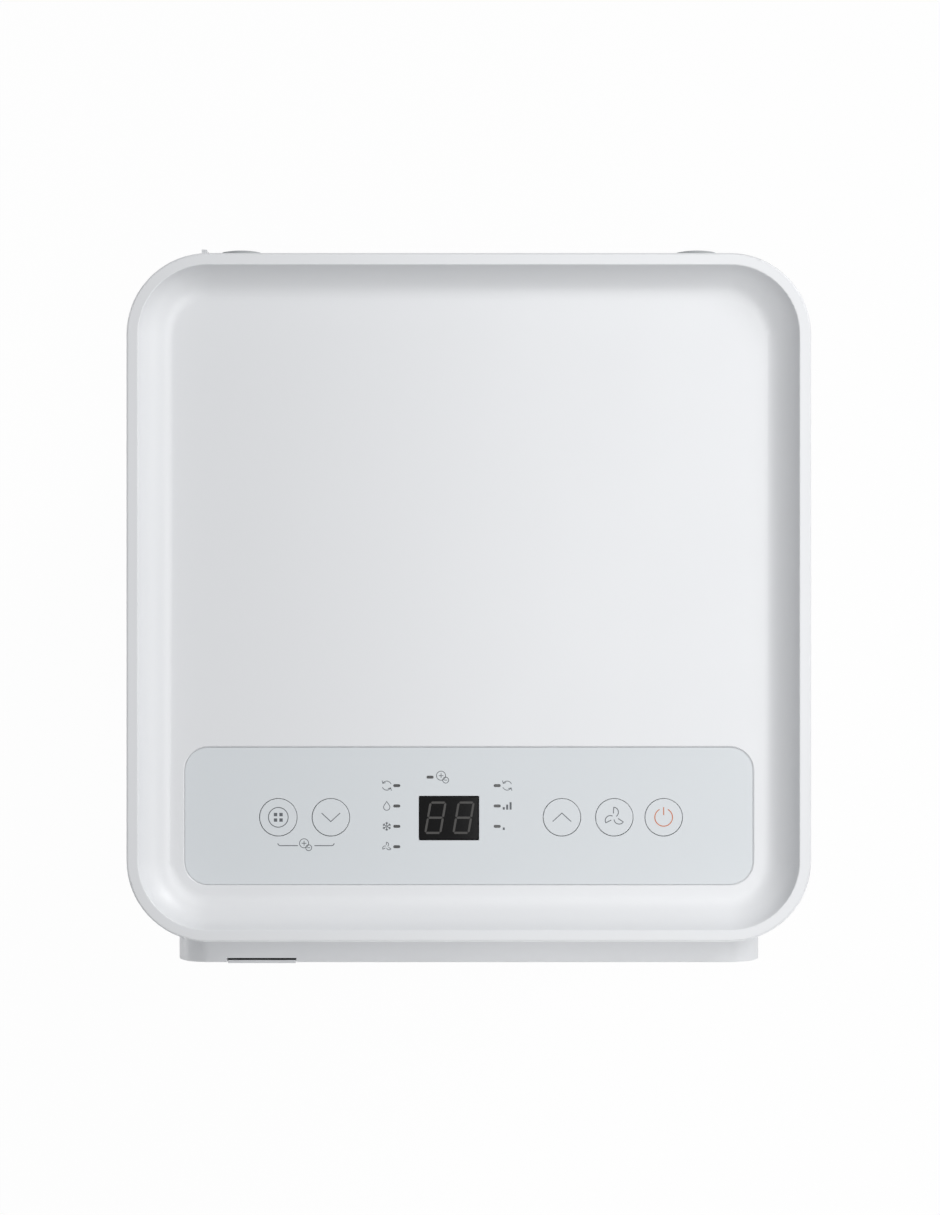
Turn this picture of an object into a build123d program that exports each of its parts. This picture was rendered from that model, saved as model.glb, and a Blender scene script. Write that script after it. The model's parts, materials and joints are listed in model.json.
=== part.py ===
"""Portable cooling and dehumidifying tower: a dished top with a control panel on a tall two-part
cabinet, a proud front panel with a swing louver, and four casters.

Millimetres. +Z is up, the front faces -Y, and the origin is the middle of the footprint on the floor.
"""
import os
from math import cos, radians, sin

from build123d import *

# Overall sizes
unit_height = 703.0
cover_width = 345.0
cover_depth = 347.0
cover_corner_r = 41.0
cover_height = 43.0
front_overhang = 16.8
rear_overhang = 9.6
reveal = 1.0
cabinet_wall = 2.5
seam_forward = 60.0
slip = 0.4
seat_gap = 0.3

# Top cover and its dish
cover_wall = 3.0
cover_edge_r = 1.2
rim_edge_r = 0.8
rim_width = 6.0
cove_width = 17.0
dish_depth = 12.0

# Control panel
panel_side = 5.3
panel_depth = 69.5
panel_corner_r = 12.0
panel_forward = 111.0
panel_gap = 0.15
overlay_thick = 1.5
overlay_sink = 0.1
pad_drop = 4.0
pad_margin = 3.0
button_forward = 111.7
mode_inset = 47.4
down_inset = 74.1
up_inset = 96.9
fan_inset = 70.3
power_inset = 45.2
button_r = 9.4
button_gap = 0.35
button_thick = 2.5
button_travel = 0.6
button_edge_r = 0.25
button_stem_r = 3.0
stem_clear = 0.06
display_width = 30.5
display_depth = 22.4
display_x = -10.1
display_forward = 112.1
display_gap = 0.15
module_margin = 3.0
lamp_length = 3.4
lamp_width = 1.3
lamp_gap = 0.1
lamp_left_x = -36.6
lamp_right_x = 14.4
lamp_first_forward = 95.6
lamp_pitch = 10.35
lamp_left_count = 4
lamp_right_count = 3
lamp_single_x = -19.7
lamp_single_forward = 91.3
board_thick = 1.6
board_drop = 6.4
board_inset = 8.0
board_boss_r = 4.0
switch_side = 6.0

# Front panel, louver and air outlet
front_panel_side = 18.6
front_panel_corner_r = 18.0
front_panel_wall = 3.0
front_panel_edge_r = 0.8
front_panel_top_drop = 5.0
front_panel_lift = 4.0
outlet_side = 46.5
outlet_height = 68.0
outlet_drop = 19.0
outlet_wall = 2.5
louver_thick = 5.0
louver_gap = 0.6
louver_pin_r = 2.0
louver_pin_length = 2.0
pin_clear = 0.06
window_width = 35.3
window_height = 14.0
window_thick = 1.6
window_slot = 1.1
window_proud = 0.4
window_inset = 44.9
vane_count = 5
vane_pitch = 46.0
vane_chord = 40.0
vane_thick = 2.0
vane_gap = 3.0
vane_setback = 24.0
vane_pin_r = 2.0
vane_crank = 10.0
crank_pin_r = 1.5
vane_swing = 35.0
link_thick = 1.6
link_lift = 0.4
link_border = 3.2
link_end = 6.0
link_play = 0.8
duct_back = 4.0

# Rear wall: intakes, hose collar, drains, cord gland, hooks, bumpers, screws
cassette_width = 200.0
cassette_border = 8.0
upper_cassette_height = 200.0
upper_cassette_drop = 35.0
lower_cassette_lift = 16.0
lower_cassette_margin = 10.0
grille_depth = 16.0
slat_pitch = 12.0
slat_height = 4.0
slat_depth = 9.0
filter_thick = 5.0
collar_r = 65.0
collar_wall = 2.5
collar_flange_r = 76.0
collar_flange = 3.0
collar_lip = 5.0
collar_x = 45.0
drain_r = 6.5
drain_wall = 2.5
drain_reach = 5.5
upper_drain_x = -100.0
plug_clear = 0.08
plug_length = 12.0
plug_cap_r = 10.0
plug_cap = 3.0
gland_x = -100.0
gland_drop = 92.0
gland_bore_r = 3.6
gland_r = 8.0
gland_flange_r = 11.0
gland_flange = 3.0
gland_nose = 8.5
hook_inset = 32.3
hook_width = 2.5
hook_tip = 2.5
hook_rise = 17.0
hook_arm = 4.0
hook_top_drop = 15.0
hook_spacing = 150.0
hook_gap = 0.05
bumper_inset = 51.8
bumper_r = 11.0
bumper_drop = 20.0
bumper_short = 0.3
bumper_dome = 1.2
screw_head_r = 4.0
screw_head = 2.5
screw_shank_r = 2.0
screw_length = 8.0
screw_clear = 0.1
screw_inset = 51.5
screw_upper_x = 60.0
screw_upper_drop = 17.0
screw_middle_drop = 142.0
screw_lower_lift = 9.0

# Hand-grip cups
grip_width = 110.0
grip_height = 34.0
grip_depth = 28.0
grip_wall = 2.0
grip_corner_r = 12.0
grip_flange = 4.0
grip_drop = 58.0
grip_back = 20.0

# Base tray and casters
wheel_r = 18.0
wheel_width = 14.0
wheel_headroom = 3.7
wheel_dish_r = 11.0
wheel_dish = 2.0
wheel_edge = 2.5
axle_r = 3.0
axle_clear = 0.05
caster_trail = 12.0
caster_inset_x = 41.5
caster_inset_y = 40.5
fork_plate = 4.0
fork_plate_r = 15.0
fork_leg = 3.0
fork_gap = 0.5
fork_eye_r = 7.0
caster_stem_r = 5.0
caster_stem_length = 13.4
caster_boss_r = 10.0
caster_boss_cap = 1.5
tray_height = 36.0
tray_wall = 6.0
tray_floor = 4.0
tray_edge = 3.0
lower_drain_lift = 14.0

# Machine inside
upper_section = 268.0
pan_floor = 3.0
pan_height = 20.0
pan_wall = 2.5
pan_clear = 0.5
coil_width = 210.0
coil_plate = 3.0
evaporator_thick = 35.0
evaporator_clear = 25.0
evaporator_top_drop = 20.0
condenser_thick = 30.0
condenser_clear = 11.5
condenser_gap = 4.5
scroll_wall = 2.0
scroll_depth = 80.0
scroll_foot = 60.0
upper_scroll_r = 76.0
upper_scroll_clear = 15.0
upper_scroll_gap = 2.5
lower_scroll_r = 75.0
lower_scroll_clear = 10.0
lower_scroll_lift = 42.0
blower_gap = 10.0
blower_hub_r = 14.0
blower_blades = 30
blower_blade_depth = 14.0
blower_blade_thick = 1.6
blower_plate = 3.0
blower_ring = 4.0
motor_r = 38.0
motor_length = 56.0
motor_shaft_r = 4.0
motor_edge_r = 6.0
shaft_clear = 0.05
compressor_r = 58.0
compressor_height = 198.0
compressor_dome_r = 20.0
compressor_side = 4.5
compressor_clear = 36.0
foot_reach = 75.0
foot_angles = (90.0, 210.0, 330.0)
foot_r = 16.0
foot_thick = 4.0
grommet_r = 12.0
grommet_height = 12.0
stud_r = 4.0
stud_clear = 0.1
stud_head_r = 8.0
stud_head = 6.0
stub_r = 5.0
stub_height = 10.0
accumulator_r = 26.0
accumulator_height = 140.0
accumulator_dome_r = 18.0
accumulator_lift = 40.0
accumulator_gap = 10.0
strap_height = 20.0
strap_width = 24.0
pipe_r = 4.0
pipe_bend = 14.0
pipe_hole_gap = 2.0
suction_reach = 30.0
liquid_reach = 17.0
electric_width = 120.0
electric_depth = 60.0
electric_height = 130.0
electric_lid = 3.0
electric_gap = 6.0
float_side = 60.5
float_forward = 80.0
float_arm = 40.0
float_r = 12.0
float_height = 14.0
float_pin_r = 2.0
float_ear = 3.0
float_arm_width = 8.0

# Places worked out from the sizes above
cover_y = (front_overhang + window_proud - rear_overhang) / 2
cover_bottom = unit_height - cover_height
plateau_z = unit_height - dish_depth
cove_r = (cove_width**2 + dish_depth**2) / (2 * dish_depth)
dish_inset = rim_width + cove_width - cove_r
cabinet_width = cover_width - 2 * reveal
cabinet_depth = cover_depth - 2 * reveal
cabinet_corner_r = cover_corner_r - reveal
cabinet_front = cover_y - cabinet_depth / 2
cabinet_rear = cover_y + cabinet_depth / 2
corner_y = cabinet_rear - cabinet_corner_r
panel_front = cover_y - cover_depth / 2 - front_overhang
rear_limit = cover_y + cover_depth / 2 + rear_overhang
split_y = cover_y - seam_forward
fork_bottom = 2 * wheel_r + wheel_headroom
fork_top = fork_bottom + fork_plate
tray_bottom = fork_top + seat_gap
tray_top = tray_bottom + tray_height
floor_z = tray_bottom + tray_floor
pan_bottom = cover_bottom - upper_section
pan_top = pan_bottom + pan_height
pan_floor_z = pan_bottom + pan_floor
outlet_width = cabinet_width - 2 * outlet_side
outlet_top = cover_bottom - outlet_drop
outlet_bottom = outlet_top - outlet_height
collar_z = pan_bottom - collar_flange_r
upper_cassette_top = cover_bottom - upper_cassette_drop
upper_cassette_z = upper_cassette_top - upper_cassette_height / 2
lower_cassette_bottom = tray_top + lower_cassette_lift
lower_cassette_top = collar_z - collar_flange_r - lower_cassette_margin
lower_cassette_height = lower_cassette_top - lower_cassette_bottom
lower_cassette_z = (lower_cassette_top + lower_cassette_bottom) / 2
caster_x = cabinet_width / 2 - caster_inset_x
caster_y = cabinet_depth / 2 - caster_inset_y
caster_points = [(sx * caster_x, cover_y + sy * caster_y) for sy in (-1, 1) for sx in (-1, 1)]
caster_names = ["front_left", "front_right", "rear_left", "rear_right"]
filter_front = cabinet_rear - grille_depth - filter_thick
evaporator_front = filter_front - evaporator_clear - evaporator_thick
condenser_front = filter_front - condenser_clear - condenser_thick
upper_scroll_front = evaporator_front - upper_scroll_clear - scroll_depth
lower_scroll_front = condenser_front - lower_scroll_clear - scroll_depth
top_down = (Align.CENTER, Align.CENTER, Align.MAX)
bottom_up = (Align.CENTER, Align.CENTER, Align.MIN)
lying_x = (0, 90, 0)

os.makedirs("parts", exist_ok=True)


def front_plane(y):
    """Upright plane at depth y, read from the front: sketch x is X, sketch y is Z, extrude goes to -Y."""
    return Plane(origin=(0, y, 0), x_dir=(1, 0, 0), z_dir=(0, -1, 0))


def side_plane(x):
    """Upright plane across the unit: sketch x is Y, sketch y is Z, extrude goes to +X."""
    return Plane(origin=(x, 0, 0), x_dir=(0, 1, 0), z_dir=(1, 0, 0))


def save(name, part):
    """Label one finished piece and write it."""
    part.label = name
    export_step(part, f"parts/{name}.step")


# Top cover: a rounded-square lid with a flat rim and a dish whose cove steepens towards the rim
recess_z = plateau_z - overlay_sink - overlay_thick
pad_bottom = plateau_z - cover_wall - pad_drop
board_top = pad_bottom - board_drop
cap_top = plateau_z - overlay_sink
cap_bottom = cap_top - button_thick
panel_y = cover_y - panel_forward
button_y = cover_y - button_forward
display_y = cover_y - display_forward
panel_width = cover_width - 2 * (rim_width + cove_width + panel_side)
button_x = {
    "button_mode": mode_inset - panel_width / 2,
    "button_down": down_inset - panel_width / 2,
    "button_up": panel_width / 2 - up_inset,
    "button_fan": panel_width / 2 - fan_inset,
    "button_power": panel_width / 2 - power_inset,
}
button_points = [(x, button_y) for x in button_x.values()]
lamp_rows = range(max(lamp_left_count, lamp_right_count))
lamp_y = [cover_y - lamp_first_forward - i * lamp_pitch for i in lamp_rows]
lamp_left = [(lamp_left_x, y) for y in lamp_y[:lamp_left_count]]
lamp_right = [(lamp_right_x, y) for y in lamp_y[:lamp_right_count]]
lamp_points = lamp_left + lamp_right + [(lamp_single_x, cover_y - lamp_single_forward)]
board_width = panel_width - 2 * board_inset
board_depth = panel_depth - 2 * board_inset
boss_grid = (board_width - 2 * board_boss_r, board_depth - 2 * board_boss_r)

with BuildPart() as dish:
    with BuildSketch(Plane.XY.offset(plateau_z)):
        with Locations((0, cover_y)):
            RectangleRounded(
                cover_width - 2 * dish_inset, cover_depth - 2 * dish_inset, cover_corner_r - dish_inset
            )
    extrude(amount=dish_depth + cove_r)
    fillet(dish.edges().group_by(Axis.Z)[0], cove_r)

with BuildPart() as top_cover:
    with BuildSketch(Plane.XY.offset(cover_bottom)):
        with Locations((0, cover_y)):
            RectangleRounded(cover_width, cover_depth, cover_corner_r)
    extrude(amount=cover_height)
    add(dish.part, mode=Mode.SUBTRACT)
    fillet(top_cover.faces().sort_by(Axis.Z)[-1].outer_wire().edges(), cover_edge_r)
    fillet(top_cover.faces().sort_by(Axis.Z)[-1].inner_wires()[0].edges(), rim_edge_r)
    with BuildSketch(Plane.XY.offset(cover_bottom)):
        with Locations((0, cover_y)):
            RectangleRounded(
                cover_width - 2 * cover_wall, cover_depth - 2 * cover_wall, cover_corner_r - cover_wall
            )
    extrude(amount=plateau_z - cover_wall - cover_bottom, mode=Mode.SUBTRACT)
    with Locations((0, panel_y, plateau_z - cover_wall)):
        Box(panel_width + 2 * pad_margin, panel_depth + 2 * pad_margin, pad_drop, align=top_down)
    with Locations((0, panel_y, pad_bottom)):
        with GridLocations(*boss_grid, 2, 2):
            Cylinder(board_boss_r, board_drop, align=top_down)
    with BuildSketch(Plane.XY.offset(plateau_z)):
        with Locations((0, panel_y)):
            RectangleRounded(panel_width + 2 * panel_gap, panel_depth + 2 * panel_gap, panel_corner_r)
    extrude(amount=recess_z - plateau_z, mode=Mode.SUBTRACT)
    with Locations(*[(x, y, recess_z) for x, y in button_points]):
        CounterBoreHole(
            button_stem_r + stem_clear,
            button_r + button_gap,
            recess_z - cap_bottom + button_travel + seat_gap,
            depth=recess_z - pad_bottom,
        )
    with Locations((display_x, display_y, recess_z)):
        Box(
            display_width - 2 * module_margin + 2 * slip,
            display_depth - 2 * module_margin + 2 * slip,
            recess_z - pad_bottom,
            align=top_down,
            mode=Mode.SUBTRACT,
        )
    with BuildSketch(Plane.XY.offset(recess_z)):
        with Locations(*lamp_points):
            SlotOverall(lamp_length + 2 * lamp_gap, lamp_width + 2 * lamp_gap)
    extrude(amount=pad_bottom - recess_z, mode=Mode.SUBTRACT)
save("top_cover", top_cover.part)

# Control overlay: a thin inset plate with openings for the caps, the display and the lamps
with BuildPart() as control_overlay:
    with BuildSketch(Plane.XY.offset(recess_z)):
        with Locations((0, panel_y)):
            RectangleRounded(panel_width, panel_depth, panel_corner_r - panel_gap)
        with Locations(*button_points):
            Circle(button_r + button_gap, mode=Mode.SUBTRACT)
        with Locations((display_x, display_y)):
            Rectangle(display_width + 2 * display_gap, display_depth + 2 * display_gap, mode=Mode.SUBTRACT)
        with Locations(*lamp_points):
            SlotOverall(lamp_length + 2 * lamp_gap, lamp_width + 2 * lamp_gap, mode=Mode.SUBTRACT)
    extrude(amount=overlay_thick)
save("control_overlay", control_overlay.part)

with BuildPart() as display_window:
    with Locations((display_x, display_y, recess_z)):
        Box(display_width, display_depth, overlay_thick, align=bottom_up)
save("display_window", display_window.part)

with BuildPart() as indicator_lenses:
    with BuildSketch(Plane.XY.offset(board_top)):
        with Locations(*lamp_points):
            SlotOverall(lamp_length, lamp_width)
    extrude(amount=cap_top - board_top)
save("indicator_lenses", indicator_lenses.part)

# Buttons: flush caps on stems that reach down to the board's switches
switch_height = button_travel + seat_gap
stem_bottom = board_top + 2 * switch_height + seat_gap
for button_name, x in button_x.items():
    with BuildPart() as button:
        with Locations((x, button_y, cap_top)):
            Cylinder(button_r, button_thick, align=top_down)
        fillet(button.edges().group_by(Axis.Z)[-1], button_edge_r)
        with Locations((x, button_y, cap_bottom)):
            Cylinder(button_stem_r, cap_bottom - stem_bottom, align=top_down)
    save(button_name, button.part)

# Control board: a circuit board with a switch under each stem and the digit block under the window
with BuildPart() as control_board:
    with Locations((0, panel_y, board_top)):
        Box(board_width, board_depth, board_thick, align=top_down)
    with Locations(*[(x, y, board_top) for x, y in button_points]):
        Box(switch_side, switch_side, 2 * switch_height - button_travel, align=bottom_up)
    with Locations((display_x, display_y, board_top)):
        Box(
            display_width - 2 * module_margin,
            display_depth - 2 * module_margin,
            recess_z - board_top - seat_gap,
            align=bottom_up,
        )
save("control_board", control_board.part)


def cabinet_block(inset):
    """The upright outline that the shell follows, as a closed block."""
    with BuildPart() as block:
        with BuildSketch(Plane.XY.offset(tray_top)):
            with Locations((0, cover_y)):
                RectangleRounded(
                    cabinet_width - 2 * inset, cabinet_depth - 2 * inset, cabinet_corner_r - inset
                )
        extrude(amount=cover_bottom - tray_top)
    return block.part


def cabinet_shell(plane, keep):
    """The piece of the upright shell on one side of a plane."""
    with BuildPart() as shell:
        add(cabinet_block(0))
        add(cabinet_block(cabinet_wall), mode=Mode.SUBTRACT)
        split(bisect_by=plane, keep=keep)
    return shell.part


# Front cabinet, with the mouth that the outlet duct passes through
mouth_width = outlet_width + 2 * outlet_wall
mouth_height = outlet_height + 2 * outlet_wall
outlet_z = (outlet_top + outlet_bottom) / 2
with BuildPart() as front_cabinet:
    add(cabinet_shell(front_plane(split_y), Keep.TOP))
    with BuildSketch(front_plane(cabinet_front + cabinet_wall)):
        with Locations((0, outlet_z)):
            Rectangle(mouth_width + 2 * slip, mouth_height + 2 * slip)
    extrude(amount=cabinet_wall, mode=Mode.SUBTRACT)
save("front_cabinet", front_cabinet.part)

# Side panels, flat between the front cabinet and the rear corners: a lower wall, a post on each side
# of the hand grip and a rail over it, which meet face to face
grip_y = cover_y + grip_back
grip_z = cover_bottom - grip_drop
grip_hole_front = grip_y - grip_width / 2 - slip
grip_hole_rear = grip_y + grip_width / 2 + slip
grip_hole_low = grip_z - grip_height / 2 - slip
grip_hole_high = grip_z + grip_height / 2 + slip
side_flats = (
    (split_y, corner_y, tray_top, grip_hole_low),
    (split_y, grip_hole_front, grip_hole_low, grip_hole_high),
    (grip_hole_rear, corner_y, grip_hole_low, grip_hole_high),
    (split_y, corner_y, grip_hole_high, cover_bottom),
)
for side, hand in ((-1, "left"), (1, "right")):
    side_panel = []
    for front, rear, low, high in side_flats:
        with BuildPart() as flat:
            with BuildSketch(side_plane(side * cabinet_width / 2)):
                with Locations(((front + rear) / 2, (low + high) / 2)):
                    Rectangle(rear - front, high - low)
            extrude(amount=-side * cabinet_wall)
        side_panel += flat.solids()
    save(f"{hand}_side_panel", Compound(side_panel))

# Rear cabinet, with its openings and two hooks that the mains lead is wound on
upper_drain_z = pan_bottom + pan_height / 2
gland_z = pan_bottom - gland_drop
spout_r = drain_r + drain_wall
bumper_z = cover_bottom - bumper_drop
screw_x = cabinet_width / 2 - screw_inset
screw_points = [
    (sign * x, z)
    for x, z in (
        (screw_upper_x, cover_bottom - screw_upper_drop),
        (screw_x, pan_bottom - screw_middle_drop),
        (screw_x, tray_top + screw_lower_lift),
    )
    for sign in (-1, 1)
]
hook_x = hook_inset - cabinet_width / 2
hook_high = cover_bottom - hook_top_drop
hook_low = hook_high - hook_spacing
inside_rear = cabinet_rear - cabinet_wall

with BuildPart() as rear_cabinet:
    add(cabinet_shell(front_plane(corner_y), Keep.BOTTOM))
    with BuildSketch(front_plane(cabinet_rear)):
        with Locations((0, upper_cassette_z)):
            Rectangle(cassette_width + 2 * slip, upper_cassette_height + 2 * slip)
        with Locations((0, lower_cassette_z)):
            Rectangle(cassette_width + 2 * slip, lower_cassette_height + 2 * slip)
        with Locations((collar_x, collar_z)):
            Circle(collar_r + collar_wall + slip)
        with Locations((upper_drain_x, upper_drain_z)):
            Circle(spout_r + slip)
        with Locations((gland_x, gland_z)):
            Circle(gland_r + slip)
        with Locations(*screw_points):
            Circle(screw_shank_r + screw_clear)
    extrude(amount=cabinet_wall, mode=Mode.SUBTRACT)

with BuildPart() as cord_hooks:
    for tip_z, way in ((hook_high, -1), (hook_low, 1)):
        with BuildSketch(side_plane(hook_x - hook_width / 2)):
            with BuildLine():
                Polyline(
                    (inside_rear, tip_z + way * hook_rise),
                    (rear_limit, tip_z + way * hook_rise),
                    (rear_limit, tip_z),
                    (rear_limit - hook_tip, tip_z),
                    (rear_limit - hook_tip, tip_z + way * (hook_rise - hook_arm)),
                    (inside_rear, tip_z + way * (hook_rise - hook_arm)),
                    close=True,
                )
            make_face()
        extrude(amount=hook_width)
    add(cabinet_block(-hook_gap), mode=Mode.SUBTRACT)
save("rear_cabinet", Compound([*rear_cabinet.solids(), *cord_hooks.solids()]))

with BuildPart() as wall_bumpers:
    bumper_height = rear_limit - bumper_short - cabinet_rear
    bumper_edge = bumper_height - bumper_dome
    bumper_ball_r = (bumper_r**2 + bumper_dome**2) / (2 * bumper_dome)
    bumper_x = cabinet_width / 2 - bumper_inset
    for side in (-1, 1):
        with BuildSketch(Plane((side * bumper_x, cabinet_rear, bumper_z))):
            with BuildLine():
                Line((0, 0), (bumper_r, 0))
                Line((bumper_r, 0), (bumper_r, bumper_edge))
                RadiusArc((bumper_r, bumper_edge), (0, bumper_height), -bumper_ball_r)
                Line((0, bumper_height), (0, 0))
            make_face()
        revolve(axis=Axis((side * bumper_x, cabinet_rear, bumper_z), (0, 1, 0)))
save("wall_bumpers", wall_bumpers.part)

with BuildPart() as cabinet_screws:
    for x, z in screw_points:
        with BuildSketch(front_plane(cabinet_rear)):
            with Locations((x, z)):
                Circle(screw_head_r)
        extrude(amount=-screw_head)
        with BuildSketch(front_plane(cabinet_rear)):
            with Locations((x, z)):
                Circle(screw_shank_r)
        extrude(amount=screw_length)
save("cabinet_screws", cabinet_screws.part)

# Hand-grip cups, one on each side, with a flange flush with the top cover's side
for side, grip_name in ((-1, "left_grip_cup"), (1, "right_grip_cup")):
    with BuildPart() as grip_cup:
        with BuildSketch(side_plane(side * cabinet_width / 2)):
            with Locations((grip_y, grip_z)):
                RectangleRounded(grip_width, grip_height, grip_corner_r)
        extrude(amount=-side * grip_depth)
        with BuildSketch(side_plane(side * cabinet_width / 2)):
            with Locations((grip_y, grip_z)):
                RectangleRounded(grip_width + 2 * grip_flange, grip_height + 2 * grip_flange, grip_corner_r)
        extrude(amount=side * reveal)
        with BuildSketch(side_plane(side * cover_width / 2)):
            with Locations((grip_y, grip_z)):
                RectangleRounded(
                    grip_width - 2 * grip_wall, grip_height - 2 * grip_wall, grip_corner_r - grip_wall
                )
        extrude(amount=-side * (grip_depth + reveal - grip_wall), mode=Mode.SUBTRACT)
    save(grip_name, grip_cup.part)

# Front panel: a hollow slab with rounded corners and a frame round the air outlet
front_panel_width = cabinet_width - 2 * front_panel_side
front_panel_bottom = tray_top + front_panel_lift
front_panel_top = cover_bottom - front_panel_top_drop
front_panel_height = front_panel_top - front_panel_bottom
front_panel_z = (front_panel_top + front_panel_bottom) / 2
front_panel_thick = cabinet_front - panel_front
hinge_y = panel_front + louver_thick / 2
hinge_z = outlet_bottom + louver_gap + louver_thick / 2
window_x = window_inset - front_panel_width / 2
window_ledge = front_panel_top - window_height
window_back = panel_front - window_proud + window_thick
with BuildPart() as front_panel:
    with BuildSketch(front_plane(cabinet_front)):
        with Locations((0, front_panel_z)):
            RectangleRounded(front_panel_width, front_panel_height, front_panel_corner_r)
    extrude(amount=front_panel_thick)
    fillet(front_panel.faces().sort_by(Axis.Y)[0].outer_wire().edges(), front_panel_edge_r)
    with BuildSketch(front_plane(cabinet_front)):
        with Locations((0, front_panel_z)):
            RectangleRounded(
                front_panel_width - 2 * front_panel_wall,
                front_panel_height - 2 * front_panel_wall,
                front_panel_corner_r - front_panel_wall,
            )
    extrude(amount=front_panel_thick - front_panel_wall, mode=Mode.SUBTRACT)
    with BuildSketch(front_plane(cabinet_front)):
        with Locations((0, outlet_z)):
            Rectangle(mouth_width, mouth_height)
    extrude(amount=front_panel_thick - front_panel_wall)
    with BuildSketch(front_plane(cabinet_front)):
        with Locations((0, outlet_z)):
            Rectangle(outlet_width, outlet_height)
    extrude(amount=front_panel_thick, mode=Mode.SUBTRACT)
    with Locations((0, hinge_y, hinge_z)):
        Cylinder(
            louver_pin_r + pin_clear,
            outlet_width + 2 * (louver_pin_length + seat_gap),
            rotation=lying_x,
            mode=Mode.SUBTRACT,
        )
    with BuildSketch(front_plane(window_back + window_slot)):
        with Locations((window_x, (front_panel_top + window_ledge) / 2)):
            Rectangle(window_width + 2 * slip, window_height)
    extrude(amount=front_panel_thick, mode=Mode.SUBTRACT)
save("front_panel", front_panel.part)

# Receiver window: a thin plate in a notch at the front panel's top edge
with BuildPart() as receiver_window:
    with Locations((window_x, panel_front - window_proud, window_ledge)):
        Box(window_width, window_thick, window_height, align=(Align.CENTER, Align.MIN, Align.MIN))
save("receiver_window", receiver_window.part)

# Louver: a flat blade that closes the outlet and swings out about its rounded lower edge
with BuildPart() as louver_blade:
    blade_length = outlet_width - 2 * louver_gap
    blade_top = outlet_top - louver_gap
    with BuildSketch(side_plane(-blade_length / 2)):
        with Locations((hinge_y, hinge_z)):
            Circle(louver_thick / 2)
        with Locations((hinge_y, (hinge_z + blade_top) / 2)):
            Rectangle(louver_thick, blade_top - hinge_z)
    extrude(amount=blade_length)
    with Locations((0, hinge_y, hinge_z)):
        Cylinder(louver_pin_r, outlet_width + 2 * louver_pin_length, rotation=lying_x)
save("louver_blade", louver_blade.part)

# Outlet duct: a flat channel from the upper blower to the front, with pivots for the vanes
duct_rear = upper_scroll_front + scroll_depth + duct_back
neck_left = -upper_scroll_r
vane_y = cabinet_front + vane_setback
vane_x = [(i - (vane_count - 1) / 2) * vane_pitch for i in range(vane_count)]
pivot_points = [(x, vane_y) for x in vane_x]
duct_floor = outlet_bottom - outlet_wall
with BuildPart() as outlet_duct:
    with BuildSketch(front_plane(duct_rear)):
        with Locations((0, outlet_z)):
            Rectangle(mouth_width, mouth_height)
    extrude(amount=duct_rear - cabinet_front)
    with BuildSketch(front_plane(duct_rear - outlet_wall)):
        with Locations((0, outlet_z)):
            Rectangle(outlet_width, outlet_height)
    extrude(amount=duct_rear - outlet_wall - cabinet_front, mode=Mode.SUBTRACT)
    with Locations((neck_left + scroll_wall, upper_scroll_front + scroll_wall, duct_floor)):
        Box(
            upper_scroll_r - 2 * scroll_wall,
            scroll_depth - 2 * scroll_wall,
            outlet_wall,
            align=(Align.MIN, Align.MIN, Align.MIN),
            mode=Mode.SUBTRACT,
        )
    with BuildSketch(Plane.XY.offset(duct_floor)):
        with Locations(*pivot_points):
            Circle(vane_pin_r + pin_clear)
    extrude(amount=mouth_height, mode=Mode.SUBTRACT)
save("outlet_duct", outlet_duct.part)

# Vanes: upright blades on pivots, with crank pins that the link bar joins
vane_bottom = outlet_bottom + vane_gap
vane_top = outlet_top - vane_gap
crank_y = vane_y + vane_crank
for number, (x, y) in enumerate(pivot_points, start=1):
    with BuildPart() as vane:
        with BuildSketch(Plane.XY.offset(vane_bottom)):
            with Locations((x, y)):
                SlotOverall(vane_chord, vane_thick, rotation=90)
                Circle(vane_pin_r)
        extrude(amount=vane_top - vane_bottom)
        with Locations((x, y, duct_floor)):
            Cylinder(vane_pin_r, mouth_height, align=bottom_up)
        with Locations((x, crank_y, vane_bottom)):
            Cylinder(crank_pin_r, vane_gap - link_lift, align=top_down)
    save(f"vane_{number}", vane.part)

with BuildPart() as vane_link:
    crank_drop = vane_crank * (1 - cos(radians(vane_swing)))
    slot_length = 2 * (crank_pin_r + link_play) + crank_drop
    with BuildSketch(Plane.XY.offset(outlet_bottom + link_lift)):
        with Locations((0, crank_y - crank_drop / 2)):
            link_length = vane_x[-1] - vane_x[0] + 2 * link_end
            RectangleRounded(link_length, slot_length + 2 * link_border, link_border / 2)
        with Locations(*[(x, crank_y - crank_drop / 2) for x in vane_x]):
            SlotOverall(
                slot_length + link_play, 2 * (crank_pin_r + link_play), rotation=90, mode=Mode.SUBTRACT
            )
    extrude(amount=link_thick)
save("vane_link", vane_link.part)


def intake_grille(z, height):
    """A framed grille of level slats that fills one intake opening."""
    with BuildPart() as grille:
        with BuildSketch(front_plane(cabinet_rear)):
            with Locations((0, z)):
                Rectangle(cassette_width, height)
                Rectangle(
                    cassette_width - 2 * cassette_border, height - 2 * cassette_border, mode=Mode.SUBTRACT
                )
        extrude(amount=grille_depth)
        slat_count = int((height - 2 * cassette_border) / slat_pitch)
        with BuildSketch(front_plane(cabinet_rear)):
            with Locations((0, z)):
                with GridLocations(0, slat_pitch, 1, slat_count):
                    Rectangle(cassette_width - cassette_border, slat_height)
                with GridLocations((cassette_width - cassette_border) / 4, 0, 3, 1):
                    Rectangle(slat_height, height - cassette_border)
        extrude(amount=slat_depth)
    return grille.part


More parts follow.
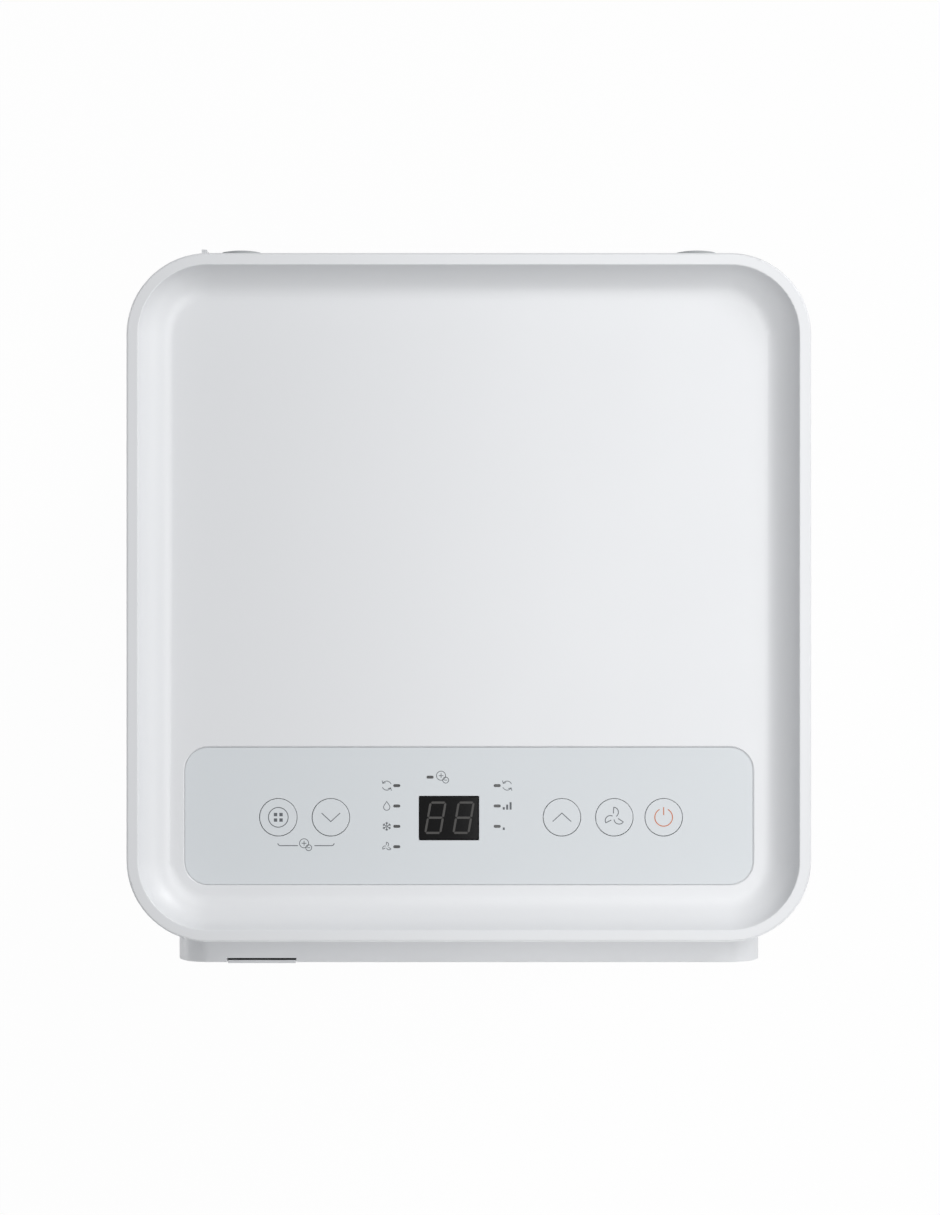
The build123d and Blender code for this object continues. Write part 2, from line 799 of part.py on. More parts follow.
def intake_filter(z, height):
    """A framed filter that sits against the back of a grille."""
    with BuildPart() as filter_frame:
        with BuildSketch(front_plane(cabinet_rear - grille_depth)):
            with Locations((0, z)):
                Rectangle(cassette_width, height)
        extrude(amount=filter_thick)
        with BuildSketch(front_plane(cabinet_rear - grille_depth - filter_thick / 2)):
            with Locations((0, z)):
                Rectangle(cassette_width - 2 * cassette_border, height - 2 * cassette_border)
        extrude(amount=filter_thick / 2, mode=Mode.SUBTRACT)
    return filter_frame.part


save("upper_intake_grille", intake_grille(upper_cassette_z, upper_cassette_height))
save("upper_filter", intake_filter(upper_cassette_z, upper_cassette_height))
save("lower_intake_grille", intake_grille(lower_cassette_z, lower_cassette_height))
save("lower_filter", intake_filter(lower_cassette_z, lower_cassette_height))

# Hose collar: a flanged tube from the lower blower out through the rear wall
lower_scroll_rear = lower_scroll_front + scroll_depth
with BuildPart() as hose_collar:
    with BuildSketch(front_plane(cabinet_rear)):
        with Locations((collar_x, collar_z)):
            Circle(collar_flange_r)
    extrude(amount=-collar_flange)
    with BuildSketch(front_plane(cabinet_rear + collar_flange + collar_lip)):
        with Locations((collar_x, collar_z)):
            Circle(collar_r + collar_wall)
    extrude(amount=cabinet_rear + collar_flange + collar_lip - lower_scroll_rear)
    with BuildSketch(front_plane(cabinet_rear + collar_flange + collar_lip)):
        with Locations((collar_x, collar_z)):
            Circle(collar_r)
    extrude(amount=cabinet_rear + collar_flange + collar_lip - lower_scroll_rear, mode=Mode.SUBTRACT)
save("hose_collar", hose_collar.part)


def drain_plug(x, z):
    """A rubber stopper whose shank fills a drain spout."""
    spout_end = cabinet_rear + drain_reach
    with BuildPart() as plug:
        with BuildSketch(front_plane(spout_end + seat_gap)):
            with Locations((x, z)):
                Circle(drain_r - plug_clear)
        extrude(amount=plug_length)
        with BuildSketch(front_plane(spout_end + seat_gap)):
            with Locations((x, z)):
                Circle(plug_cap_r)
        extrude(amount=-plug_cap)
    return plug.part


lower_drain_z = tray_bottom + lower_drain_lift
save("upper_drain_plug", drain_plug(upper_drain_x, upper_drain_z))
save("lower_drain_plug", drain_plug(0, lower_drain_z))

with BuildPart() as cord_gland:
    for radius, start, length in (
        (gland_r, -gland_nose, gland_nose),
        (gland_flange_r, 0, gland_flange),
        (gland_r, gland_flange, gland_nose - gland_flange),
    ):
        with BuildSketch(front_plane(cabinet_rear + start)):
            with Locations((gland_x, gland_z)):
                Circle(radius)
        extrude(amount=-length)
    with BuildSketch(front_plane(cabinet_rear - gland_nose)):
        with Locations((gland_x, gland_z)):
            Circle(gland_bore_r)
    extrude(amount=-2 * gland_nose, mode=Mode.SUBTRACT)
save("cord_gland", cord_gland.part)

# Base tray: the floor pan that stands on the casters and catches water, with ears for the float's pin
float_x = cabinet_width / 2 - tray_wall - float_side
float_y = cover_y - float_forward
float_pin_z = floor_z + float_ear + float_r
ear_x = float_arm_width / 2 + fork_gap
with BuildPart() as base_tray:
    with BuildSketch(Plane.XY.offset(tray_bottom)):
        with Locations((0, cover_y)):
            RectangleRounded(cabinet_width, cabinet_depth, cabinet_corner_r)
    extrude(amount=tray_height)
    chamfer(base_tray.edges().group_by(Axis.Z)[0], tray_edge)
    with BuildSketch(Plane.XY.offset(floor_z)):
        with Locations((0, cover_y)):
            RectangleRounded(
                cabinet_width - 2 * tray_wall, cabinet_depth - 2 * tray_wall, cabinet_corner_r - tray_wall
            )
    extrude(amount=tray_height, mode=Mode.SUBTRACT)
    with Locations(*[(x, y, tray_bottom) for x, y in caster_points]):
        Cylinder(caster_boss_r, caster_stem_length + caster_boss_cap, align=bottom_up)
        Cylinder(caster_stem_r + axle_clear, caster_stem_length, align=bottom_up, mode=Mode.SUBTRACT)
    with BuildSketch(front_plane(cabinet_rear - tray_wall)):
        with Locations((0, lower_drain_z)):
            Circle(spout_r)
    extrude(amount=-(tray_wall + drain_reach))
    with BuildSketch(front_plane(cabinet_rear - tray_wall)):
        with Locations((0, lower_drain_z)):
            Circle(drain_r)
    extrude(amount=-(tray_wall + drain_reach), mode=Mode.SUBTRACT)
    for side in (-1, 1):
        with Locations((float_x + side * (ear_x + float_ear / 2), float_y, floor_z)):
            Box(float_ear, float_r, float_pin_z - floor_z + 2 * float_pin_r, align=bottom_up)
    with Locations((float_x, float_y, float_pin_z)):
        Cylinder(float_pin_r, 2 * (ear_x + float_ear), rotation=lying_x)
save("base_tray", base_tray.part)


def caster_fork(x, y):
    """A swivel fork with its stem and its riveted axle."""
    axle_y = y + caster_trail
    leg_start = wheel_width / 2 + fork_gap
    with BuildPart() as fork:
        with Locations((x, y, fork_top)):
            Cylinder(fork_plate_r, fork_plate, align=top_down)
            Cylinder(caster_stem_r, caster_stem_length, align=bottom_up)
        for start in (x + leg_start, x - leg_start - fork_leg):
            with BuildSketch(side_plane(start)):
                with Locations((axle_y, wheel_r)):
                    Circle(fork_eye_r)
                with Locations((y, fork_bottom + fork_plate / 2)):
                    Rectangle(fork_plate_r, fork_plate)
                make_hull()
            extrude(amount=fork_leg)
        with Locations((x, axle_y, wheel_r)):
            Cylinder(axle_r, 2 * (leg_start + fork_leg), rotation=lying_x)
    return fork.part


def caster_wheel(x, y):
    """A wheel with dished sides that turns on the fork's axle."""
    with BuildPart() as wheel:
        with Locations((x, y + caster_trail, wheel_r)):
            Cylinder(wheel_r, wheel_width, rotation=lying_x)
        chamfer(wheel.edges().filter_by(GeomType.CIRCLE), wheel_edge)
        for side in (-1, 1):
            with BuildSketch(side_plane(x + side * wheel_width / 2)):
                with Locations((y + caster_trail, wheel_r)):
                    Circle(wheel_dish_r)
                    Circle(2 * axle_r, mode=Mode.SUBTRACT)
            extrude(amount=-side * wheel_dish, mode=Mode.SUBTRACT)
        with Locations((x, y + caster_trail, wheel_r)):
            Cylinder(axle_r + axle_clear, wheel_width, rotation=lying_x, mode=Mode.SUBTRACT)
    return wheel.part


for corner, (x, y) in zip(caster_names, caster_points):
    save(f"caster_fork_{corner}", caster_fork(x, y))
    save(f"caster_wheel_{corner}", caster_wheel(x, y))

# Partition with the drain pan: catches the water under the evaporator
suction_x = -coil_width / 2 - suction_reach
suction_y = evaporator_front + evaporator_thick / 2
liquid_x = -coil_width / 2 - liquid_reach
liquid_y = condenser_front + condenser_thick / 2
inner_width = cabinet_width - 2 * cabinet_wall - 2 * pan_clear
inner_depth = cabinet_depth - 2 * cabinet_wall - 2 * pan_clear
inner_corner_r = cabinet_corner_r - cabinet_wall - pan_clear
with BuildPart() as drain_pan:
    with BuildSketch(Plane.XY.offset(pan_bottom)):
        with Locations((0, cover_y)):
            RectangleRounded(inner_width, inner_depth, inner_corner_r)
    extrude(amount=pan_height)
    with BuildSketch(Plane.XY.offset(pan_floor_z)):
        with Locations((0, cover_y)):
            RectangleRounded(
                inner_width - 2 * pan_wall, inner_depth - 2 * pan_wall, inner_corner_r - pan_wall
            )
    extrude(amount=pan_height, mode=Mode.SUBTRACT)
    with BuildSketch(Plane.XY.offset(pan_bottom)):
        with Locations((suction_x, suction_y), (liquid_x, liquid_y)):
            Circle(pipe_r + pipe_hole_gap)
    extrude(amount=pan_floor, mode=Mode.SUBTRACT)
    pan_rear = cover_y + inner_depth / 2
    with BuildSketch(front_plane(pan_rear - pan_wall)):
        with Locations((upper_drain_x, upper_drain_z)):
            Circle(spout_r)
    extrude(amount=pan_rear - pan_wall - cabinet_rear - drain_reach)
    with BuildSketch(front_plane(pan_rear - pan_wall)):
        with Locations((upper_drain_x, upper_drain_z)):
            Circle(drain_r)
    extrude(amount=pan_rear - pan_wall - cabinet_rear - drain_reach, mode=Mode.SUBTRACT)
save("drain_pan", drain_pan.part)


def coil(bottom, top, front, thick):
    """A finned heat exchanger between two end plates."""
    with BuildPart() as block:
        with Locations((0, front, bottom)):
            Box(coil_width, thick, top - bottom, align=(Align.CENTER, Align.MIN, Align.MIN))
        for side in (-1, 1):
            for face_y in (front, front + thick - coil_plate):
                with Locations((side * (coil_width - coil_plate) / 2, face_y, bottom)):
                    Box(
                        coil_plate,
                        coil_plate,
                        top - bottom + coil_plate,
                        align=(Align.CENTER, Align.MIN, Align.MIN),
                    )
    return block.part


evaporator_top = cover_bottom - evaporator_top_drop
condenser_top = collar_z - collar_r - collar_wall - condenser_gap - coil_plate
save("evaporator_coil", coil(pan_floor_z, evaporator_top, evaporator_front, evaporator_thick))
save("condenser_coil", coil(floor_z, condenser_top, condenser_front, condenser_thick))


def scroll_outline(x, z, radius, left, right, top, bottom, inset):
    """The blower housing's outline: a drum, a neck that rises from it and a foot below it."""
    with BuildSketch() as outline:
        with Locations((x, z)):
            Circle(radius - inset)
        with Locations(((left + right) / 2, (z + top) / 2)):
            Rectangle(right - left - 2 * inset, top - z - 2 * inset)
        if inset == 0:
            with Locations((x, (z + bottom) / 2)):
                Rectangle(scroll_foot, z - bottom)
    return outline.sketch


def blower_scroll(x, z, radius, right, top, bottom, front):
    """A hollow blower housing with an inlet in its rear wall and a shaft hole in its front wall."""
    left = x - radius
    with BuildPart() as scroll:
        with BuildSketch(front_plane(front + scroll_depth)):
            add(scroll_outline(x, z, radius, left, right, top, bottom, 0))
        extrude(amount=scroll_depth)
        with BuildSketch(front_plane(front + scroll_depth - scroll_wall)):
            add(scroll_outline(x, z, radius, left, right, top, bottom, scroll_wall))
        extrude(amount=scroll_depth - 2 * scroll_wall, mode=Mode.SUBTRACT)
        with BuildSketch(front_plane(front + scroll_depth)):
            with Locations((x, z)):
                Circle(radius - 2 * blower_gap)
        extrude(amount=scroll_wall, mode=Mode.SUBTRACT)
        with BuildSketch(front_plane(front + scroll_wall)):
            with Locations((x, z)):
                Circle(motor_shaft_r + slip)
        extrude(amount=scroll_wall, mode=Mode.SUBTRACT)
    return scroll.part


def blower_wheel(x, z, radius, front):
    """A drum of forward blades between a back plate and a ring, on a hub."""
    wheel_front = front + blower_gap
    wheel_rear = front + scroll_depth - blower_gap
    with BuildPart() as wheel:
        with BuildSketch(front_plane(wheel_front + blower_plate)):
            with Locations((x, z)):
                Circle(radius)
        extrude(amount=blower_plate)
        with BuildSketch(front_plane(wheel_rear - blower_plate)):
            with Locations((x, z)):
                Circle(blower_hub_r)
        extrude(amount=wheel_rear - blower_plate - wheel_front)
        with BuildSketch(front_plane(wheel_rear)):
            with Locations((x, z)):
                with PolarLocations(radius - blower_blade_depth / 2, blower_blades):
                    Rectangle(blower_blade_depth, blower_blade_thick)
        extrude(amount=wheel_rear - wheel_front)
        with BuildSketch(front_plane(wheel_rear)):
            with Locations((x, z)):
                Circle(radius)
                Circle(radius - blower_blade_depth, mode=Mode.SUBTRACT)
        extrude(amount=blower_ring)
        with BuildSketch(front_plane(wheel_rear)):
            with Locations((x, z)):
                Circle(motor_shaft_r + shaft_clear)
        extrude(amount=wheel_rear - wheel_front, mode=Mode.SUBTRACT)
    return wheel.part


def blower_motor(x, z, front):
    """A can motor on the housing's front wall, with its shaft through the wheel's hub."""
    with BuildPart() as motor:
        with BuildSketch(front_plane(front)):
            with Locations((x, z)):
                Circle(motor_r)
        extrude(amount=motor_length)
        fillet(motor.faces().sort_by(Axis.Y)[0].edges(), motor_edge_r)
        with BuildSketch(front_plane(front)):
            with Locations((x, z)):
                Circle(motor_shaft_r)
        extrude(amount=-(scroll_depth - blower_gap))
    return motor.part


upper_scroll_z = duct_floor - upper_scroll_gap - upper_scroll_r
with BuildPart() as upper_scroll:
    add(blower_scroll(0, upper_scroll_z, upper_scroll_r, 0, duct_floor, pan_floor_z, upper_scroll_front))
    with Locations((neck_left + scroll_wall, upper_scroll_front + scroll_wall, duct_floor)):
        Box(
            upper_scroll_r - 2 * scroll_wall,
            scroll_depth - 2 * scroll_wall,
            2 * scroll_wall,
            align=(Align.MIN, Align.MIN, Align.MAX),
            mode=Mode.SUBTRACT,
        )
save("upper_blower_scroll", upper_scroll.part)
upper_wheel_r = upper_scroll_r - blower_gap
save("upper_blower_wheel", blower_wheel(0, upper_scroll_z, upper_wheel_r, upper_scroll_front))
save("upper_blower_motor", blower_motor(0, upper_scroll_z, upper_scroll_front))

lower_scroll_z = floor_z + lower_scroll_lift + lower_scroll_r
lower_neck_right = collar_x + lower_scroll_r
with BuildPart() as lower_scroll:
    add(
        blower_scroll(
            collar_x,
            lower_scroll_z,
            lower_scroll_r,
            lower_neck_right,
            pan_bottom,
            floor_z,
            lower_scroll_front,
        )
    )
    with BuildSketch(front_plane(lower_scroll_rear)):
        with Locations((collar_x, collar_z)):
            Circle(collar_r + slip)
    extrude(amount=scroll_wall, mode=Mode.SUBTRACT)
save("lower_blower_scroll", lower_scroll.part)
lower_wheel_r = lower_scroll_r - blower_gap
save("lower_blower_wheel", blower_wheel(collar_x, lower_scroll_z, lower_wheel_r, lower_scroll_front))
save("lower_blower_motor", blower_motor(collar_x, lower_scroll_z, lower_scroll_front))

# Compressor on three rubber grommets, with its accumulator brazed to its side
foot_spread = max(foot_reach * cos(radians(a)) for a in foot_angles) + foot_r
compressor_x = tray_wall + compressor_side + foot_spread - cabinet_width / 2
compressor_y = lower_scroll_front - motor_length - compressor_clear
foot_bottom = floor_z + grommet_height
foot_top = foot_bottom + foot_thick
foot_points = [
    (compressor_x + foot_reach * cos(radians(a)), compressor_y + foot_reach * sin(radians(a)))
    for a in foot_angles
]
compressor_top = foot_top + compressor_height
accumulator_x = compressor_x + compressor_r + accumulator_gap + accumulator_r
accumulator_bottom = foot_top + accumulator_lift
accumulator_top = accumulator_bottom + accumulator_height
with BuildPart() as accumulator:
    with Locations((accumulator_x, compressor_y, accumulator_bottom)):
        Cylinder(accumulator_r, accumulator_height, align=bottom_up)
    fillet(accumulator.edges().filter_by(GeomType.CIRCLE), accumulator_dome_r)
    with Locations((accumulator_x, compressor_y, accumulator_top)):
        Cylinder(stub_r, 2 * stub_height, align=(Align.CENTER, Align.CENTER, Align.CENTER))
    with Locations((accumulator_x, compressor_y, (accumulator_bottom + accumulator_top) / 2)):
        Box(
            accumulator_x - compressor_x,
            strap_width,
            strap_height,
            align=(Align.MAX, Align.CENTER, Align.CENTER),
        )

with BuildPart() as compressor:
    with BuildSketch(Plane.XY.offset(foot_bottom)):
        with Locations(*foot_points):
            Circle(foot_r)
        make_hull()
        with Locations(*foot_points):
            Circle(stud_r + stud_clear, mode=Mode.SUBTRACT)
    extrude(amount=foot_thick)
    with Locations((compressor_x, compressor_y, foot_bottom)):
        Cylinder(compressor_r, foot_thick + compressor_height, align=bottom_up)
    fillet(compressor.edges().group_by(Axis.Z)[-1], compressor_dome_r)
    with Locations((compressor_x, compressor_y, compressor_top)):
        Cylinder(stub_r, 2 * stub_height, align=(Align.CENTER, Align.CENTER, Align.CENTER))
    add(accumulator.part)
save("compressor", compressor.part)

with BuildPart() as compressor_grommets:
    with Locations(*[(x, y, floor_z) for x, y in foot_points]):
        Cylinder(grommet_r, grommet_height, align=bottom_up)
        Cylinder(stud_r + stud_clear, grommet_height, align=bottom_up, mode=Mode.SUBTRACT)
save("compressor_grommets", compressor_grommets.part)

with BuildPart() as compressor_studs:
    with Locations(*[(x, y, floor_z) for x, y in foot_points]):
        Cylinder(stud_r, grommet_height + foot_thick, align=bottom_up)
    with Locations(*[(x, y, foot_top) for x, y in foot_points]):
        Cylinder(stud_head_r, stud_head, align=bottom_up)
save("compressor_studs", compressor_studs.part)

def pipe_run(*points):
    """A bent copper pipe along straight runs."""
    with BuildPart() as pipe:
        with BuildLine() as route:
            FilletPolyline(*points, radius=pipe_bend)
        with BuildSketch(Plane(origin=route.wire() @ 0, z_dir=route.wire() % 0)):
            Circle(pipe_r)
        sweep(path=route.wire())
    return pipe.part


discharge_z = compressor_top + stub_height
discharge_high = max(discharge_z, condenser_top) + 2 * pipe_bend
suction_z = accumulator_top + stub_height
suction_high = discharge_high + 3 * pipe_bend
suction_end = pan_top + 3 * pipe_bend
coil_side = -coil_width / 2
liquid_start = condenser_top - 3 * pipe_bend
liquid_end = suction_end + 4 * pipe_bend
with BuildPart() as refrigerant_pipes:
    add(
        pipe_run(
            (compressor_x, compressor_y, discharge_z),
            (compressor_x, compressor_y, discharge_high),
            (compressor_x, liquid_y, discharge_high),
            (compressor_x, liquid_y, condenser_top),
        )
    )
    add(
        pipe_run(
            (accumulator_x, compressor_y, suction_z),
            (accumulator_x, compressor_y, suction_high),
            (suction_x, compressor_y, suction_high),
            (suction_x, suction_y, suction_high),
            (suction_x, suction_y, suction_end),
            (coil_side, suction_y, suction_end),
        )
    )
    add(
        pipe_run(
            (coil_side, liquid_y, liquid_start),
            (liquid_x, liquid_y, liquid_start),
            (liquid_x, liquid_y, liquid_end),
            (liquid_x, suction_y, liquid_end),
            (coil_side, suction_y, liquid_end),
        )
    )
save("refrigerant_pipes", refrigerant_pipes.part)

# Electrical box on the partition, behind the front wall
electric_front = cabinet_front + cabinet_wall + electric_gap
with BuildPart() as electrical_box:
    with Locations((0, electric_front, pan_floor_z)):
        Box(electric_width, electric_depth, electric_height, align=(Align.CENTER, Align.MIN, Align.MIN))
    with Locations((0, electric_front + electric_depth / 2, pan_floor_z + electric_height)):
        Box(
            electric_width + 2 * electric_lid,
            electric_depth + 2 * electric_lid,
            electric_lid,
            align=bottom_up,
        )
save("electrical_box", electrical_box.part)

# Water-level float on its pin in the base tray
with BuildPart() as water_float:
    with BuildSketch(side_plane(float_x - float_arm_width / 2)):
        with Locations((float_y, float_pin_z)):
            Circle(2 * float_pin_r)
        with Locations((float_y - float_arm / 2, float_pin_z)):
            Rectangle(float_arm, 2 * float_pin_r)
        with Locations((float_y, float_pin_z)):
            Circle(float_pin_r + pin_clear, mode=Mode.SUBTRACT)
    extrude(amount=float_arm_width)
    with Locations((float_x, float_y - float_arm, float_pin_z)):
        Cylinder(float_r, float_height, align=(Align.CENTER, Align.CENTER, Align.CENTER))
save("water_float", water_float.part)
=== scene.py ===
"""Looks of a portable cooling and dehumidifying tower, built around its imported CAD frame.

Metres, in the frame's own axes: +Z up, the front faces -Y.
"""
import json
import math
from contextlib import contextmanager
from functools import partial

import bmesh
import bpy
from bpy.props import FloatProperty, FloatVectorProperty, IntProperty, PointerProperty
from mathutils import Matrix, Vector
from mathutils.geometry import interpolate_bezier


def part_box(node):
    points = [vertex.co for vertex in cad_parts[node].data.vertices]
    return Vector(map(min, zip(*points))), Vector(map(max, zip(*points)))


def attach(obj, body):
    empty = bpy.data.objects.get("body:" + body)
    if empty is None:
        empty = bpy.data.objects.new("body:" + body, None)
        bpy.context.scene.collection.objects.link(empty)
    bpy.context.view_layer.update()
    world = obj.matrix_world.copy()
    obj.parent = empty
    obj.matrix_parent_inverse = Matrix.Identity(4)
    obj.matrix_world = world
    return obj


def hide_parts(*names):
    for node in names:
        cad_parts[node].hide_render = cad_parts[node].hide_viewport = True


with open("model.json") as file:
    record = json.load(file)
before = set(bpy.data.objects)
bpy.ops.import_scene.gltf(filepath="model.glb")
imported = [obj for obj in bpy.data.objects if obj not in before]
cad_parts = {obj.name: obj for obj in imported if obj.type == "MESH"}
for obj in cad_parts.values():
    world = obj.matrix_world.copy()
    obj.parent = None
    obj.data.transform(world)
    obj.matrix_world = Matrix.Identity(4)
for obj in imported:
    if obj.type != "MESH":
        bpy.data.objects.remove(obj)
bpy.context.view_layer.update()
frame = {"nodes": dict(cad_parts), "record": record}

bl_info = {
    "name": "Climate tower looks",
    "version": (1, 0, 0),
    "blender": (4, 5, 0),
    "location": "3D View > Sidebar > Climate tower",
    "description": "Dresses the frame of a portable cooling and dehumidifying tower",
    "category": "Object",
}

MM = 0.001
# Print stands this far off its cap or film, and is this thick
INK_LIFT, INK_THICK = 0.01 * MM, 0.03 * MM
# Points this close are joined, and faces this nearly level become one
JOIN_DISTANCE, FLAT_ANGLE = 0.002 * MM, math.radians(0.4)
# Edges flatter than the first are shaded smooth, and sharper than the second are rounded
SMOOTH_ANGLE, ROUNDED_ANGLE = math.radians(28), math.radians(40)
# Share by which roughness drifts either way, and strength of a grain's bump
GLOSS_DRIFT, GRAIN_STRENGTH = 0.1, 0.5
# A wave texture of scale 1 repeats after this length
WAVE_PERIOD = 2 * math.pi / 20
# Colour sockets of the Mix node
MIX_FIRST, MIX_SECOND, MIX_RESULT = 6, 7, 2
# Least cosine at a corner of a printed line, which keeps sharp mitres short
MITRE_LIMIT = 0.5
# Lamps whose X differs by less stand in one row
SAME_ROW = 1 * MM
# Places of print, as seen from above
ION_FROM_LAMP = Vector((5.6, 0.75)) * MM
ION_FROM_BRACKET = Vector((-0.25, 1.2)) * MM
BRACKET_PAST_MODE, BRACKET_PAST_DOWN = 0.25 * MM, 1.7 * MM
DIGITS_FROM_MIDDLE = Vector((0.3, 0.2)) * MM
CORNERS = ("front_left", "front_right", "rear_left", "rear_right")
BUTTONS = ("mode", "down", "up", "fan", "power")
VANES = [f"vane_{number}" for number in range(1, 6)]
BODIES = frame["record"]["behaviour"]["bodies"]
BODY_OF = {node: body for body, nodes in BODIES.items() for node in nodes}
SLOT_OF = {part["node"]: part["material_slot"] for part in frame["record"]["subparts"]}
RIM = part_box("top_cover")[1].z
# Each light's place, the point that it faces, and its width and height, in metres
LIGHTS = {
    "back": ((1.6, 1.4, 1.9), (0, 0, RIM), (0.8, 0.8)),
    "overhead": ((0.18, 0, 2.0), (0.18, 0, RIM), (0.32, 1.2)),
    "side": ((0.46, 0.05, 1.02), (-0.05, 0.05, 0.69), (1.7, 0.2)),
    "front": ((0.5, -1.7, 0.4), (0, 0, 0.35), (1.2, 0.5)),
    "left": ((-1.7, 0.2, 0.25), (0, 0, 0.3), (1.2, 0.4)),
}
# Half the floor's side, and the share of white that the camera sees over its shadow
FLOOR_REACH, FLOOR_GLOW = 6.0, 0.97
SENSOR_WIDTH = 36.0


def linear(hex_code):
    """An sRGB hex colour as linear red, green, blue and alpha."""
    channels = [int(hex_code[i:i + 2], 16) / 255 for i in (0, 2, 4)]
    return tuple(c / 12.92 if c <= 0.04045 else ((c + 0.055) / 1.055) ** 2.4 for c in channels) + (1.0,)


def colour_setting(label, hex_code, about):
    """A colour that a user can change, given as sRGB hex."""
    return FloatVectorProperty(
        name=label, description=about, subtype="COLOR", size=4, min=0, max=1, default=linear(hex_code)
    )


def length(label, millimetres, about):
    """A length that a user can change, given in millimetres."""
    return FloatProperty(
        name=label, description=about, default=millimetres * MM, unit="LENGTH", precision=5
    )


def power_setting(label, watts, about):
    """The power of one light, in watts."""
    return FloatProperty(name=label, description=about, default=watts, unit="POWER")


class TowerColours(bpy.types.PropertyGroup):
    """Colours of the tower's finishes"""
    shell: colour_setting("Shell", "e2e3e5", "Moulded white body panels")
    overlay: colour_setting("Control film", "d8dcdf", "Printed film of the control panel")
    ink: colour_setting("Print", "52565b", "Grey print on the control film")
    power_ink: colour_setting("Power print", "c4662e", "Copper-coloured print of the power mark")
    window: colour_setting("Display", "0d0d0e", "Smoked display window")
    segment: colour_setting("Unlit segment", "242220", "Unlit digit segments behind the window")
    lamp: colour_setting("Lamp", "0e1012", "Unlit lamp lenses")
    vent: colour_setting("Vents", "c9cccf", "Grilles, vanes and hose collar")
    filter: colour_setting("Filter", "4b4f53", "Nylon filter mesh")
    rubber: colour_setting("Rubber", "b4b7b9", "Bumpers, stoppers and gland")
    caster: colour_setting("Casters", "2c2d2f", "Caster forks and wheels")
    floor: colour_setting("Floor", "f4f4f4", "Studio floor")
    fill: colour_setting("Fill", "f7fbff", "Even light all round, a little cool")


class PrintSizes(bpy.types.PropertyGroup):
    """Sizes of the marks on the control panel"""
    line: length("Line width", 0.42, "Width of a printed line")
    fine_line: length("Fine line", 0.336, "Line width of a small pictogram")
    power_line: length("Power line", 0.483, "Line width of the power mark")
    icon: length("Pictogram size", 4.6, "Height of a small pictogram beside a lamp")
    icon_gap: length("Pictogram gap", 3.4, "From a lamp's end to the middle of its pictogram")
    chevron_width: length("Chevron width", 9.4, "Width of the up and down marks")
    chevron_height: length("Chevron height", 4.3, "Height of the up and down marks")
    mode_ring: length("Mode ring radius", 5.0, "Inner ring of the mode button")
    mode_cell: length("Mode square", 1.7, "Side of one square of the mode mark")
    mode_gap: length("Mode gap", 0.55, "From the mode button's middle to its squares")
    power_ring: length("Power ring radius", 4.5, "Ring of the power mark")
    fan_radius: length("Fan radius", 5.1, "Reach of the fan mark's blades")
    bracket_drop: length("Bracket drop", 14.4, "From the buttons' middle to their bracket")
    digit_width: length("Digit width", 7.6, "Width of one display digit")
    digit_height: length("Digit height", 15.4, "Height of one display digit")
    digit_pitch: length("Digit pitch", 14.3, "Distance between the display digits")
    segment: length("Segment width", 1.1, "Width of one digit segment")
    segment_gap: length("Segment gap", 0.1925, "From a digit's corner to a segment's end")
    slant: FloatProperty(name="Digit slant", description="Lean of the digits", default=0.174)


class FinishSizes(bpy.types.PropertyGroup):
    """Small sizes of the finished pieces"""
    edge: length("Edge radius", 0.5, "Radius on the edges of moulded pieces")
    window_edge: length("Window edge", 0.7, "Edge radius of the display window")
    plug_edge: length("Plug edge", 1.0, "Edge radius of the drain plugs")
    grip_edge: length("Grip edge", 0.3, "Edge radius of the hand-grip cups")
    fine_edge: length("Fine edge", 0.25, "Edge radius of the grilles and screws")
    slim_edge: length("Slim edge", 0.2, "Edge radius of the receiver window and its foam")
    film_corner: length("Film corner", 11.85, "Corner radius of the control film")
    film_sink: length("Film sink", 0.1, "From the cover's flat down to the control film")
    lip_width: length("Lip width", 0.85, "Width of the sloped lip round the control film")
    lip_depth: length("Lip depth", 0.6, "Depth of the sloped lip at the film's edge")
    # The foam behind the receiver window is painted shade: a black strip that darkens the slot
    foam: length("Foam", 0.9, "Thickness of the black foam behind the receiver window")
    foam_drop: length("Foam drop", 0.6, "From the top of the receiver window down to its foam")
    border: length("Frame border", 8.0, "Width of the frame of a grille or filter")
    slat_pitch: length("Slat pitch", 12.0, "Distance between a grille's slats")
    slat_height: length("Slat thickness", 2.0, "Thickness of one slat")
    slat_depth: length("Slat depth", 9.0, "Depth of one slat")
    slat_lean: FloatProperty(
        name="Slat lean", description="Outer edge down", default=math.radians(14), subtype="ANGLE"
    )
    set_back: length("Set back", 0.6, "From the face of a grille's frame to its slats")
    rib: length("Rib width", 4.0, "Width of a grille's upright rib")
    ribs: IntProperty(name="Ribs", description="Upright ribs in a grille", default=3, min=1)
    net_pitch: length("Net pitch", 2.0, "Between a filter's threads, coarse enough to show")
    thread: length("Thread", 0.6, "Thickness of a filter thread")
    screw_head: length("Screw head", 8.0, "Diameter of a screw head")
    head_taper: FloatProperty(
        name="Head taper", description="A screw head's top over its foot", default=0.8, subtype="FACTOR"
    )
    screw_shank: length("Screw shank", 4.0, "Diameter of a screw's shank")
    recess: length("Cross recess", 4.2, "Length of a screw's cross recess")
    recess_width: length("Recess width", 1.1, "Width of the cross recess")
    recess_depth: length("Recess depth", 1.4, "Depth of the cross recess")


